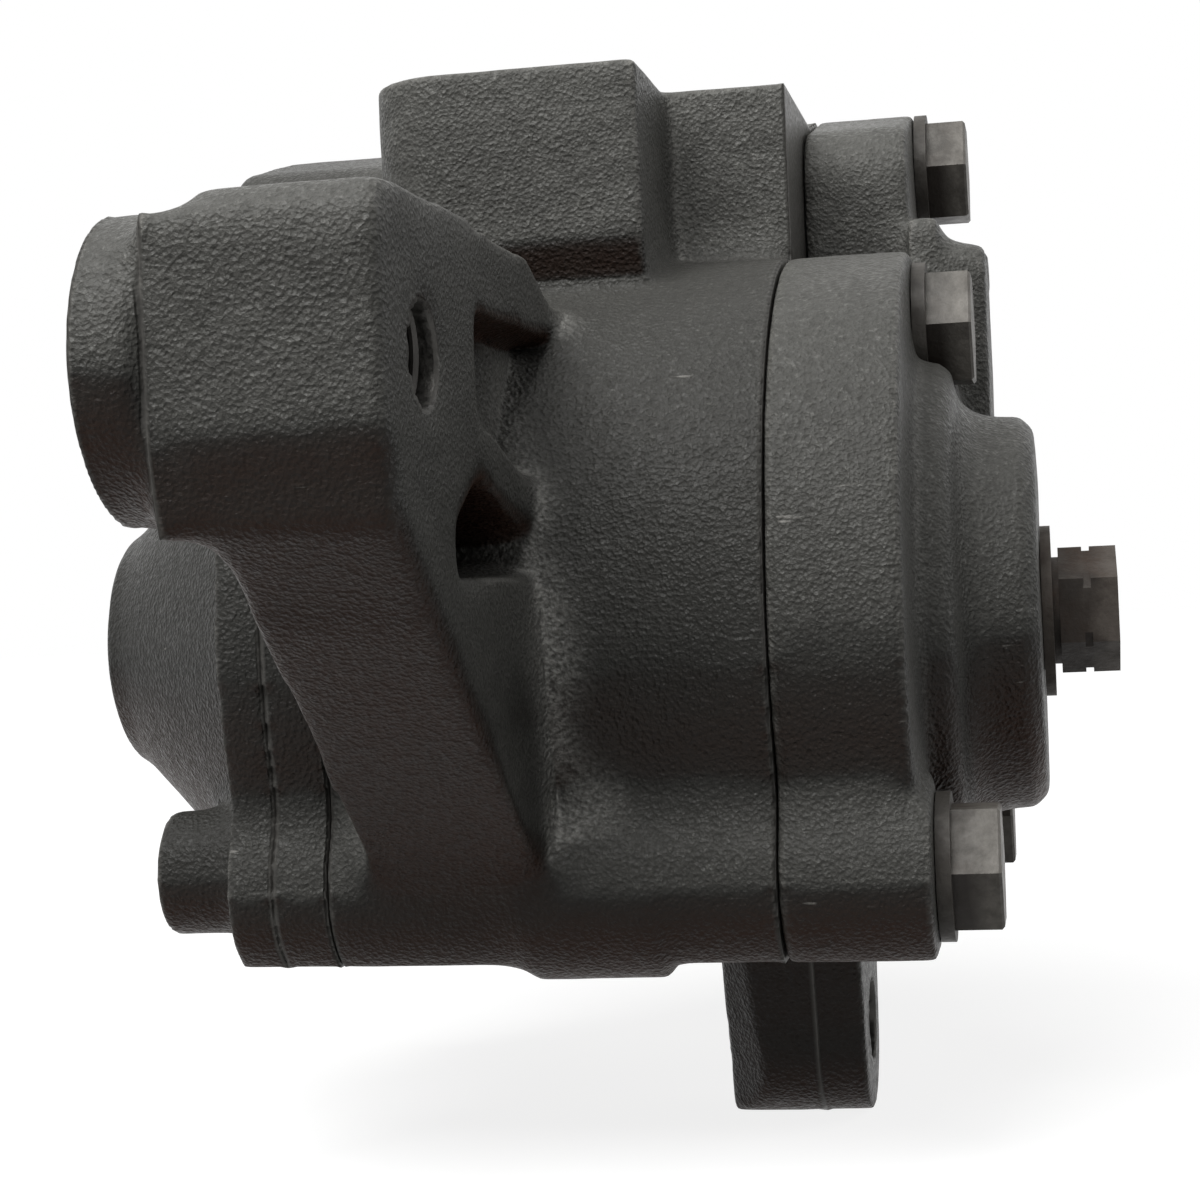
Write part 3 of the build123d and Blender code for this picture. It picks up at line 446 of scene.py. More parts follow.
# ---------------------------------------------------------------- finishes
def light_reach_share(tree, where):
    """1 where the painted light is full, as behind the body's end, and less on the barrel and the
    front cover.
    """
    axes = add_node(tree, "ShaderNodeSeparateXYZ", {0: where}).outputs
    ring = add_node(tree, "ShaderNodeCombineXYZ", {"Y": axes["Y"], "Z": axes["Z"]}).outputs[0]
    reach = add_node(tree, "ShaderNodeVectorMath", {0: ring}, operation="LENGTH").outputs["Value"]
    off_barrel = band(tree, reach, *DIM_BARREL, 0.52, 1.0)
    behind = band(tree, axes["X"], *DIM_BODY_END)
    dimmed = product(tree, off_barrel, behind, "MAXIMUM")
    return product(tree, dimmed, band(tree, axes["X"], *DIM_FRONT, 0.50, 1.0))


def painted_light_share(tree, where, broad):
    """Painted light: lighter on what looks up, more so near the top, in broad patches."""
    height = add_node(tree, "ShaderNodeSeparateXYZ", {0: where}).outputs["Z"]
    near_top = band(tree, height, 0.0, LIGHT_TOP, 0.55, 1.0)
    lit_part = product(tree, underside(tree, -0.12, 0.03), near_top)
    lit_part = product(tree, lit_part, band(tree, broad, 0.30, 0.70, 1.0, 0.72))
    return product(tree, lit_part, light_reach_share(tree, where))


def highlight_facing_share(tree):
    """1 on the sides that look both to the plug's end and to the arm's side, where the painted
    highlight goes.
    """
    normal = add_node(tree, "ShaderNodeNewGeometry").outputs["Normal"]
    axes = add_node(tree, "ShaderNodeSeparateXYZ", {0: normal}).outputs
    return product(tree, band(tree, axes["X"], 0.0, 0.5), band(tree, axes["Y"], 0.0, -0.5))


def attribute(tree, name):
    """A share that is kept at the mesh's points."""
    return add_node(tree, "ShaderNodeAttribute", attribute_name=name).outputs["Fac"]


def cast_paint(settings):
    """Dark paint on cast iron, with painted light on faces that look up and near the top, painted
    highlights in the fillets and painted glints on lit grains, thin on the edges, brown underneath,
    bare where it is machined.
    """
    made, tree, shader = start_material("cast_paint")
    where = place(tree)
    grain = cloud(tree, where, settings.grain, 2.0, 0.55)
    lumps = cloud(tree, where, settings.grain * 2.0, 4.0, 0.62)
    stains = cloud(tree, where, 9.0 * MM, 5.0, 0.6)
    broad = cloud(tree, where, 30.0 * MM, 3.0, 0.5)
    pits = add_node(
        tree, "ShaderNodeTexVoronoi", {"Vector": where, "Scale": 0.55 / settings.grain}
    ).outputs["Distance"]
    scratches = cloud(tree, place(tree, (0.10, 0.6, 1.0)), 0.30 * MM, 2.0, 0.5)
    scratch_place = cloud(tree, where, 5.0 * MM, 2.0, 0.5)

    # Painted light: faces that look up, more so near the top, take the lighter paint, and faces
    # that look down keep the dark paint.
    lit_part = painted_light_share(tree, where, broad)
    rubbed_lumps = band(tree, lumps, 0.30, 0.66, 0.62, 1.0)
    rubbed = product(tree, rubbed_lumps, band(tree, stains, 0.34, 0.68, 0.85, 1.0))
    colour = tint(tree, product(tree, lit_part, rubbed), settings.paint, settings.lit_paint)
    # Painted highlight: a pale colour in the filled fillets that face the plug's end and the arm's
    # side.
    fillet_highlight = product(tree, attribute(tree, "filled"), band(tree, grain, 0.36, 0.62, 0.25, 1.0))
    fillet_highlight = product(tree, fillet_highlight, band(tree, highlight_facing_share(tree), 0.0, 0.7, 0.25, 1.0))
    colour = tint(tree, fillet_highlight, colour, settings.fillet_highlight)
    # Painted glints: the lighter grains on the lit faces.
    painted_glint = product(tree, band(tree, grain, 0.60, 0.72), product(tree, lit_part, 0.5))
    colour = tint(tree, painted_glint, colour, [1.7 * c for c in settings.lit_paint])
    stained = band(tree, stains, 0.30, 0.62, 0.72, 1.0)
    below = product(tree, underside(tree, -0.06, -0.50), stained)
    colour = tint(tree, below, colour, settings.patina)
    scratch_marks = band(tree, scratches, 0.70, 0.74)
    scratch = product(tree, scratch_marks, band(tree, scratch_place, 0.60, 0.68))
    colour = tint(tree, product(tree, scratch, 0.55), colour, settings.edge)
    worn_lumps = band(tree, lumps, 0.38, 0.60, 0.25, 1.0)
    worn = product(tree, convex_mask(tree, 0.520, 0.575), worn_lumps)
    colour = tint(tree, product(tree, worn, 0.55), colour, settings.edge)

    cut = band(tree, attribute(tree, "machined"), 0.5, 0.95)
    dull_iron = [0.62 * c for c in settings.bare_iron]
    iron = tint(tree, band(tree, lumps, 0.35, 0.7), settings.bare_iron, dull_iron)
    colour = tint(tree, cut, colour, iron)
    tree.links.new(colour, shader.inputs["Base Color"])
    tree.links.new(product(tree, cut, 0.40), shader.inputs["Metallic"])
    rough = band(tree, product(tree, grain, lumps, "ADD"), 0.75, 1.25, 0.52, 0.30)
    tree.links.new(rough, shader.inputs["Roughness"])
    shader.inputs["Specular IOR Level"].default_value = 0.12

    coarse = product(tree, lumps, 1.1)
    cast_height = product(tree, product(tree, grain, pits, "ADD"), coarse, "ADD")
    flat = product(tree, cut, -0.85)
    cast_height = product(tree, cast_height, product(tree, flat, 1.0, "ADD"))
    skin = relief(tree, cast_height, settings.grain_relief, 0.20 * MM)
    tree.links.new(skin, shader.inputs["Normal"])
    return made


def turned_metal(
    name, colour, film, rough, marks, film_share=0.35, metallic=1.0, stretch=(14, 1, 1)
):
    """Bare metal with tool marks round its axis and a little dark film."""
    made, tree, shader = start_material(name)
    where = place(tree)
    lines = cloud(tree, place(tree, stretch), 0.9 * MM, 2.0, 0.6)
    mottle = cloud(tree, where, 2.2 * MM, 5.0, 0.65)
    fine = cloud(tree, where, 0.25 * MM, 2.0, 0.5)
    colour_now = tint(tree, band(tree, lines, 0.35, 0.65), [0.86 * c for c in colour], colour)
    share = product(tree, band(tree, mottle, 0.48, 0.72), film_share)
    colour_now = tint(tree, share, colour_now, film)
    bright = product(tree, convex_mask(tree, 0.52, 0.60), 0.5)
    colour_now = tint(tree, bright, colour_now, [min(1.0, 1.35 * c) for c in colour])
    tree.links.new(colour_now, shader.inputs["Base Color"])
    shader.inputs["Metallic"].default_value = metallic
    roughness = product(tree, lines, mottle, "ADD")
    roughness = band(tree, roughness, 0.7, 1.3, rough - 0.09, rough + 0.13)
    tree.links.new(roughness, shader.inputs["Roughness"])
    height = product(tree, product(tree, lines, marks), fine, "ADD")
    tree.links.new(relief(tree, height, 0.18, 0.05 * MM), shader.inputs["Normal"])
    return made


def weathered_steel(name, colour, settings, rust_share, rough):
    """Oiled steel that has stood outside: painted shade on the lower faces, rust in patches, bright
    corners.
    """
    made, tree, shader = start_material(name)
    where = place(tree)
    mottle = cloud(tree, where, 1.6 * MM, 6.0, 0.68)
    patches = cloud(tree, where, 4.5 * MM, 4.0, 0.6)
    fine = cloud(tree, where, 0.30 * MM, 3.0, 0.6)
    colour_now = tint(tree, band(tree, mottle, 0.38, 0.64), [0.62 * c for c in colour], colour)
    rusty = product(tree, band(tree, patches, 0.42, 0.62), band(tree, fine, 0.30, 0.62, 0.4, 1.0))
    colour_now = tint(tree, product(tree, rusty, rust_share), colour_now, settings.rust)
    # Painted shade: the dark film on the faces that don't look up.
    below = product(tree, underside(tree, 0.30, -0.15), band(tree, patches, 0.3, 0.6, 0.80, 1.0))
    colour_now = tint(tree, below, colour_now, settings.oil_film_and_shade)
    bright = product(tree, convex_mask(tree, 0.515, 0.58), band(tree, mottle, 0.35, 0.6, 0.3, 0.8))
    colour_now = tint(tree, bright, colour_now, [min(1.0, 1.7 * c) for c in colour])
    tree.links.new(colour_now, shader.inputs["Base Color"])
    shader.inputs["Metallic"].default_value = 0.10
    shader.inputs["Specular IOR Level"].default_value = 0.2
    roughness = band(tree, mottle, 0.35, 0.7, rough + 0.1, rough - 0.1)
    tree.links.new(roughness, shader.inputs["Roughness"])
    height = product(tree, mottle, fine, "ADD")
    tree.links.new(relief(tree, height, 0.45, 0.16 * MM), shader.inputs["Normal"])
    return made


def seal_rubber(settings):
    """Matt nitrile rubber with a dusting of light film."""
    made, tree, shader = start_material("seal_rubber")
    where = place(tree)
    dust = cloud(tree, where, 1.2 * MM, 4.0, 0.6)
    fine = cloud(tree, where, 0.16 * MM, 2.0, 0.5)
    dusty = [2.4 * c for c in settings.rubber]
    colour = tint(tree, band(tree, dust, 0.45, 0.75, 0.0, 0.6), settings.rubber, dusty)
    tree.links.new(colour, shader.inputs["Base Color"])
    tree.links.new(band(tree, dust, 0.3, 0.7, 0.48, 0.68), shader.inputs["Roughness"])
    tree.links.new(relief(tree, fine, 0.3, 0.05 * MM), shader.inputs["Normal"])
    return made


def finish_with(material, *nodes):
    """Give the frame's own pieces this finish."""
    for name in nodes:
        piece = frame["nodes"][name]
        piece.data.materials.clear()
        piece.data.materials.append(material)


# ---------------------------------------------------------------- the castings
PORTS = {mount["name"]: mount for mount in frame["record"]["mounts"]}
BORES = {"pump_body": 27.2, "front_cover": 8.2, "intermediate_plate": 27.0, "rear_cover": 0.0}
CASTINGS = tuple(BORES)


def read_points(mesh):
    """All the mesh's points as an array, in metres."""
    points = np.zeros(len(mesh.vertices) * 3)
    mesh.vertices.foreach_get("co", points)
    return points.reshape(-1, 3)


def read_normals(mesh):
    """The direction of the surface at each point."""
    normals = np.zeros(len(mesh.vertices) * 3)
    mesh.vertex_normals.foreach_get("vector", normals)
    return normals.reshape(-1, 3)


def write_points(mesh, points):
    """Put the points back."""
    mesh.vertices.foreach_set("co", points.ravel())
    mesh.update()


def skin_of(node, voxel):
    """A closed, even skin of quads over the node's solid."""
    mesh = frame["nodes"][node].data.copy()
    piece = bpy.data.objects.new("cast_" + node, mesh)
    bpy.context.scene.collection.objects.link(piece)
    remesh = piece.modifiers.new("skin", "REMESH")
    remesh.mode = "VOXEL"
    remesh.voxel_size = voxel
    remesh.adaptivity = 0.0
    graph = bpy.context.evaluated_depsgraph_get()
    skin = bpy.data.meshes.new_from_object(piece.evaluated_get(graph))
    piece.modifiers.clear()
    piece.data = skin
    return piece


def smooth_step(value):
    """0 below 0, 1 above 1, and soft between."""
    value = np.clip(value, 0.0, 1.0)
    return value * value * (3 - 2 * value)


def ramp(value, start, over):
    """0 at start and 1 when value is past it by over, which is negative for a fall."""
    return smooth_step((value - start) / over)


def machined_share(node, points):
    """1 on the faces and in the bores that a tool has cut, 0 on the cast skin."""
    low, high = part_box(node)
    x, y, z = points.T / MM
    ends = [low.x / MM, high.x / MM]
    away = np.full(len(points), 1e3)
    if node == "pump_body":
        ends = [BODY_FRONT_X, BODY_REAR_X]
        pad = PORTS["mounting_pad"]["pos_m"][0] / MM
        away = np.minimum(away, np.abs(x - pad))
    if node == "front_cover":
        ends = [high.x / MM]
    if node == "rear_cover":
        ends = [low.x / MM]
    for end in ends:
        away = np.minimum(away, np.abs(x - end))
    if BORES[node]:
        away = np.minimum(away, np.maximum(np.hypot(y, z) - BORES[node], 0))
    return 1 - ramp(away, CUT_MARGIN, CUT_FADE)


def bore_share(points):
    """1 inside the holes that the record names, and in the valve's bore."""
    away = np.full(len(points), 1e3)
    for mount in PORTS.values():
        if "r_mm" not in mount["dims"]:
            continue
        centre = np.array(mount["pos_m"])
        axis = np.array(mount["axis"], float)
        offset = points - centre
        along = offset @ axis
        across = np.linalg.norm(offset - along[:, None] * axis, axis=1) / MM
        length = mount["dims"]["length_mm"]
        outside = np.maximum(np.abs(along) / MM - length, 0)
        away = np.minimum(away, np.maximum(across - mount["dims"]["r_mm"], 0) + outside)
    y, z = points[:, 1] / MM, points[:, 2] / MM
    valve_points = read_points(frame["nodes"]["flow_control_spool"].data)
    middle = (valve_points.min(0) + valve_points.max(0)) / 2 / MM
    from_valve = np.hypot(y - middle[1], z - middle[2])
    away = np.minimum(away, np.maximum(from_valve - VALVE_BORE_RADIUS, 0))
    return 1 - ramp(away, CUT_MARGIN, CUT_FADE)


def arm_root_share(points):
    """1 where the mounting arm runs into the barrel, fading out around it."""
    x, y, z = points.T / MM
    across = np.hypot(y, z)
    ring = 1 - ramp(np.abs(across - BARREL_RADIUS), 4.5, over=5.0)
    side = 1 - ramp(np.abs(x - ARM_MIDDLE_X), 14.0, over=5.0)
    front = ramp(y, ARM_ROOT_Y, over=-8.0)
    height = ramp(z, ARM_ROOT_FOOT_Z, over=4.0) * ramp(z, ARM_ROOT_TOP_Z, over=-4.0)
    return ring * side * front * height


def arm_waist_share(points):
    """1 on the arm's rear side between its lower rib and its toe."""
    x, y, z = points.T / MM
    across = np.hypot(y, z)
    ring = ramp(across, WAIST_INNER_RADIUS, over=3.0) * ramp(across, WAIST_OUTER_RADIUS, over=-2.0)
    side = ramp(x, WAIST_FRONT_X, over=3.0) * ramp(x, WAIST_REAR_X, over=-5.0)
    front = ramp(y, WAIST_Y, over=-6.0)
    height = 1 - ramp(np.abs(z - WAIST_MIDDLE_Z), 5.5, over=4.0)
    return ring * side * front * height


def lug_share(points):
    """1 on the lug that carries the round pad."""
    return ramp(points[:, 1] / MM, LUG_BACK_Y, over=-4.0)


def step_back(points, depth):
    """Set the lug's front back below the parting line, as the two mould halves left it."""
    x, y, z = points.T / MM
    below = ramp(z, PARTING_Z, over=-0.7)
    front = ramp(y, STEP_Y, over=-4.0)
    behind_pad = ramp(x, STEP_X, over=0.8)
    moved = points.copy()
    moved[:, 1] += depth * (below * front * behind_pad)
    return moved


def port_edge_share(points):
    """1 under the overhanging port blocks, whose undercut stays open."""
    y, z = points[:, 1] / MM, points[:, 2] / MM
    height = ramp(z, PORT_FLOOR_Z, over=3.0) * ramp(z, PORT_TOP_Z, over=-3.0)
    return height * ramp(y, PORT_FRONT_Y, over=-4.0)


def relax(points, edges, share, rounds, fill_only=None):
    """Draw each point towards its neighbours; with fill_only, only where that adds material."""
    moving = share > 0
    used = np.unique(edges[moving[edges].any(1)])
    place_of = np.full(len(points), -1)
    place_of[used] = np.arange(len(used))
    first, second = place_of[edges[(place_of[edges] >= 0).all(1)]].T
    part = points[used]
    count = len(part)
    degree = np.bincount(first, minlength=count) + np.bincount(second, minlength=count)
    weight = (share * moving)[used][:, None]
    if fill_only is not None:
        fill_only = fill_only[used]
    for _ in range(rounds):
        step = np.empty_like(part)
        for axis in range(3):
            column = part[:, axis]
            total = np.bincount(first, column[second], count)
            total = total + np.bincount(second, column[first], count)
            step[:, axis] = total / degree - column
        if fill_only is not None:
            step = fill_only * np.clip((step * fill_only).sum(1), 0.0, None)[:, None]
        part = part + step * weight
    points = points.copy()
    points[used] = part
    return points


def cast_wander(points, normals, share, height, length):
    """Move the skin in and out a little, as a mould does, and never further out than it was."""
    moved = np.empty(len(points))
    shift = Vector((7.3, 1.9, 4.1))
    for index, point in enumerate(points):
        spot = Vector(point) / length
        moved[index] = 0.7 * noise.noise(spot) + 0.3 * noise.noise(spot * 2.7 + shift)
    moved = np.clip(moved, -WANDER_LIMIT, WANDER_LIMIT)
    inward = height * (moved - WANDER_LIMIT) / (2 * WANDER_LIMIT)
    return points + normals * (inward * share)[:, None]


def fill_corners(mesh, points, edges, share, rounds):
    """Fill the inner corners, reading the surface's direction again every few passes."""
    stride = max(LEAST_STRIDE, rounds // MOST_STRIDES)
    for start in range(0, rounds, stride):
        write_points(mesh, points)
        normals = read_normals(mesh)
        points = relax(points, edges, share, min(stride, rounds - start), normals)
    return points


def dress_casting(node, settings, material):
    """Rebuild one casting's skin and let it stand for the frame's node."""
    piece = skin_of(node, settings.voxel)
    mesh = piece.data
    points = read_points(mesh)
    edges = np.zeros(len(mesh.edges) * 2, int)
    mesh.edges.foreach_get("vertices", edges)
    edges = edges.reshape(-1, 2)
    machined = np.maximum(machined_share(node, points), bore_share(points))
    cast = 1 - machined
    open_share = 1 - UNDERCUT_HOLD * port_edge_share(points)
    fills = [(settings.fillet_rounds, PULL * cast * open_share)]
    if node == "pump_body":
        points = step_back(points, settings.parting_step)
        fills.append((settings.blend_rounds, PULL * cast * arm_root_share(points)))
        fills.append((settings.waist_rounds, PULL * cast * arm_waist_share(points)))
    before = points
    for rounds, share in fills:
        points = fill_corners(mesh, points, edges, share, rounds)
    depth = np.linalg.norm(points - before, axis=1) / MM
    filled = ramp(depth, FILL_SEEN, FILL_RANGE)
    points = relax(points, edges, PULL * cast, settings.edge_rounds)
    if node == "pump_body":
        points = relax(points, edges, PULL * cast * lug_share(points), settings.lug_rounds)
    write_points(mesh, points)
    normals = read_normals(mesh)
    points = cast_wander(points, normals, cast, settings.wave_height, settings.wave_length)
    low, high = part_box(node)
    points = np.clip(points, np.array(low), np.array(high))
    write_points(mesh, points)
    for name, values in (("machined", machined), ("filled", filled)):
        layer = mesh.attributes.new(name, "FLOAT", "POINT")
        layer.data.foreach_set("value", values.astype(np.float32))
    mesh.polygons.foreach_set("use_smooth", np.ones(len(mesh.polygons), bool))
    mesh.materials.clear()
    mesh.materials.append(material)
    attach(piece, "housing")
    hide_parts(node)
    return piece


def make_thread(name, mount, pitch, ridge, material, mouth):
    """A helical ridge inside a threaded hole, from its far end to just short of its mouth."""
    radius = mount["dims"]["r_mm"] * MM
    full = mount["dims"]["length_mm"] * MM
    axis = Vector(mount["axis"]).normalized()
    side = axis.orthogonal().normalized()
    other = axis.cross(side)
    centre = Vector(mount["pos_m"])
    start = 0.5 * pitch - full / 2
    length = full - pitch - mouth
    total = int(THREAD_STEPS * length / pitch)
    wall = radius + THREAD_SINK
    shape = bmesh.new()
    rings = []
    for step in range(total + 1):
        turn = 2 * math.pi * step / THREAD_STEPS
        along = start + length * step / total
        fade = min(1.0, step / THREAD_STEPS, (total - step) / THREAD_STEPS)
        crest = radius - ridge * fade
        out = math.cos(turn) * side + math.sin(turn) * other
        ring = []
        for reach, shift in (
            (wall, -THREAD_FOOT), (crest, -THREAD_CREST), (crest, THREAD_CREST), (wall, THREAD_FOOT)
        ):
            ring.append(shape.verts.new(centre + out * reach + axis * (along + shift * pitch)))
        rings.append(ring)
    for near, far in zip(rings, rings[1:]):
        for corner in range(4):
            after = (corner + 1) % 4
            shape.faces.new((near[corner], near[after], far[after], far[corner]))
    shape.faces.new(rings[0][::-1])
    shape.faces.new(rings[-1])
    bmesh.ops.recalc_face_normals(shape, faces=shape.faces)
    mesh = bpy.data.meshes.new(name)
    shape.to_mesh(mesh)
    shape.free()
    mesh.materials.append(material)
    piece = bpy.data.objects.new(name, mesh)
    bpy.context.scene.collection.objects.link(piece)
    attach(piece, "housing")
    return piece


def make_coil(node, body, material):
    """A copy of a coil spring, carried by the body of its joint's parent."""
    piece = bpy.data.objects.new("coil_of_" + node, frame["nodes"][node].data.copy())
    bpy.context.scene.collection.objects.link(piece)
    piece.data.materials.clear()
    piece.data.materials.append(material)
    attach(piece, body)
    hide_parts(node)
    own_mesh(piece)
    return piece


# ---------------------------------------------------------------- operators
class VANEPUMP_OT_castings(bpy.types.Operator):
    """Rebuild the four painted castings."""

    bl_idname = "vanepump.castings"
    bl_label = "Castings"

    def execute(self, context):
        scene = context.scene
        material = cast_paint(scene.vane_pump_paint)
        for node in CASTINGS:
            dress_casting(node, scene.vane_pump_casting, material)
        return {"FINISHED"}


class VANEPUMP_OT_threads(bpy.types.Operator):
    """Cut the threads of the lug, the foot and the ports."""

    bl_idname = "vanepump.threads"
    bl_label = "Threads"

    def execute(self, context):
        metal = context.scene.vane_pump_metal
        sizes = context.scene.vane_pump_thread
        material = turned_metal(
            "thread_iron", metal.washer, metal.oil_film_and_shade, rough=0.42, marks=0.6,
            film_share=0.5, metallic=0.4,
        )
        for name, mouth in THREAD_MOUTHS.items():
            pitch = sizes.port_pitch if name.endswith("port") else sizes.lug_pitch
            make_thread(name + "_ridges", PORTS[name], pitch, sizes.ridge, material, mouth * MM)
        return {"FINISHED"}


class VANEPUMP_OT_fasteners(bpy.types.Operator):
    """Finish the cover bolts and their washers."""

    bl_idname = "vanepump.fasteners"
    bl_label = "Bolts and Washers"

    def execute(self, context):
        metal = context.scene.vane_pump_metal
        bolts = weathered_steel("bolt_steel", metal.bolt, metal, rust_share=0.30, rough=0.46)
        finish_with(bolts, "cover_bolts")
        washers = weathered_steel("washer_steel", metal.washer, metal, rust_share=0.20, rough=0.50)
        finish_with(washers, "cover_washers")
        return {"FINISHED"}


class VANEPUMP_OT_plug(bpy.types.Operator):
    """Finish the rusty rear plug and its washer."""

    bl_idname = "vanepump.plug"
    bl_label = "Rear Plug"

    def execute(self, context):
        metal = context.scene.vane_pump_metal
        rusty = weathered_steel("plug_steel", metal.plug, metal, rust_share=0.85, rough=0.58)
        finish_with(rusty, "rear_plug", "plug_washer")
        return {"FINISHED"}


class VANEPUMP_OT_shaft(bpy.types.Operator):
    """Finish the drive shaft with its bush and seal."""

    bl_idname = "vanepump.shaft"
    bl_label = "Drive Shaft"

    def execute(self, context):
        metal = context.scene.vane_pump_metal
        shaft = turned_metal("shaft_steel", metal.ground, metal.oil_film_and_shade, rough=0.26, marks=1.0)
        finish_with(shaft, "drive_shaft")
        bush = turned_metal(
            "bush_bronze", metal.bronze, metal.oil_film_and_shade, rough=0.34, marks=0.8, film_share=0.25
        )
        finish_with(bush, "front_bush")
        finish_with(seal_rubber(metal), "shaft_seal", "chamber_seal_rings", "valve_seal_rings")
        return {"FINISHED"}


class VANEPUMP_OT_cartridge(bpy.types.Operator):
    """Finish the pumping cartridge: rotor, vanes, cam ring, plates and dowels."""

    bl_idname = "vanepump.cartridge"
    bl_label = "Cartridge"

    def execute(self, context):
        metal = context.scene.vane_pump_metal
        ground = turned_metal(
            "ground_steel", metal.ground, metal.oil_film_and_shade, rough=0.30, marks=0.7,
            film_share=0.25, stretch=(1, 9, 9),
        )
        finish_with(ground, "cam_ring", "thrust_plate", "pressure_plate", "dowel_pins")
        lapped = turned_metal(
            "lapped_steel", metal.hardened, metal.oil_film_and_shade, rough=0.20, marks=0.4,
            film_share=0.15, stretch=(3, 1, 1),
        )
        vanes = [name for name in frame["nodes"] if name.startswith("vane_")]
        finish_with(lapped, "rotor", *vanes)
        return {"FINISHED"}


class VANEPUMP_OT_bearing(bpy.types.Operator):
    """Finish the ball bearing."""

    bl_idname = "vanepump.bearing"
    bl_label = "Bearing"

    def execute(self, context):
        metal = context.scene.vane_pump_metal
        race = turned_metal(
            "race_steel", metal.hardened, metal.oil_film_and_shade, rough=0.18, marks=0.9, film_share=0.12
        )
        finish_with(race, "bearing_inner_ring", "bearing_outer_ring")
        ball = turned_metal(
            "ball_steel", metal.hardened, metal.oil_film_and_shade, rough=0.12, marks=0.1,
            film_share=0.06, stretch=(1, 1, 1),
        )
        finish_with(ball, "bearing_balls")
        cage = turned_metal(
            "cage_bronze", metal.bronze, metal.oil_film_and_shade, rough=0.36, marks=0.5, film_share=0.30
        )
        finish_with(cage, "bearing_cage")
        return {"FINISHED"}


class VANEPUMP_OT_valve(bpy.types.Operator):
    """Finish the flow control valve and all the springs and snap rings."""

    bl_idname = "vanepump.valve"
    bl_label = "Valve and Springs"

    def execute(self, context):
        metal = context.scene.vane_pump_metal
        spool = turned_metal(
            "spool_steel", metal.hardened, metal.oil_film_and_shade, rough=0.22, marks=1.0, film_share=0.15
        )
        finish_with(spool, "flow_control_spool", "relief_seat", "relief_poppet")
        wire = turned_metal(
            "spring_steel", metal.spring, metal.oil_film_and_shade, rough=0.32, marks=0.6,
            film_share=0.30, stretch=(3, 3, 3),
        )
        finish_with(wire, "disc_spring", "seal_snap_ring", "bearing_snap_ring")
        for joint in frame["record"]["behaviour"]["joints"]:
            for row in joint.get("deforming_nodes", ()):
                make_coil(row["node"], joint["parent"], wire)
        return {"FINISHED"}


def add_lamp(name, power, size, place_at, look_at):
    """A square soft lamp."""
    light = bpy.data.lights.new(name, "AREA")
    light.energy = power
    light.shape = "SQUARE"
    light.size = size
    lamp = bpy.data.objects.new(name, light)
    lamp.location = place_at
    lamp.rotation_euler = (look_at - place_at).to_track_quat("-Z", "Y").to_euler()
    bpy.context.scene.collection.objects.link(lamp)
    return lamp


def seen_directly(tree):
    """1 for rays that show the background: straight, mirrored or through glass."""
    rays = add_node(tree, "ShaderNodeLightPath").outputs
    shown = product(tree, rays["Is Camera Ray"], rays["Is Glossy Ray"], "MAXIMUM")
    return product(tree, shown, rays["Is Transmission Ray"], "MAXIMUM")


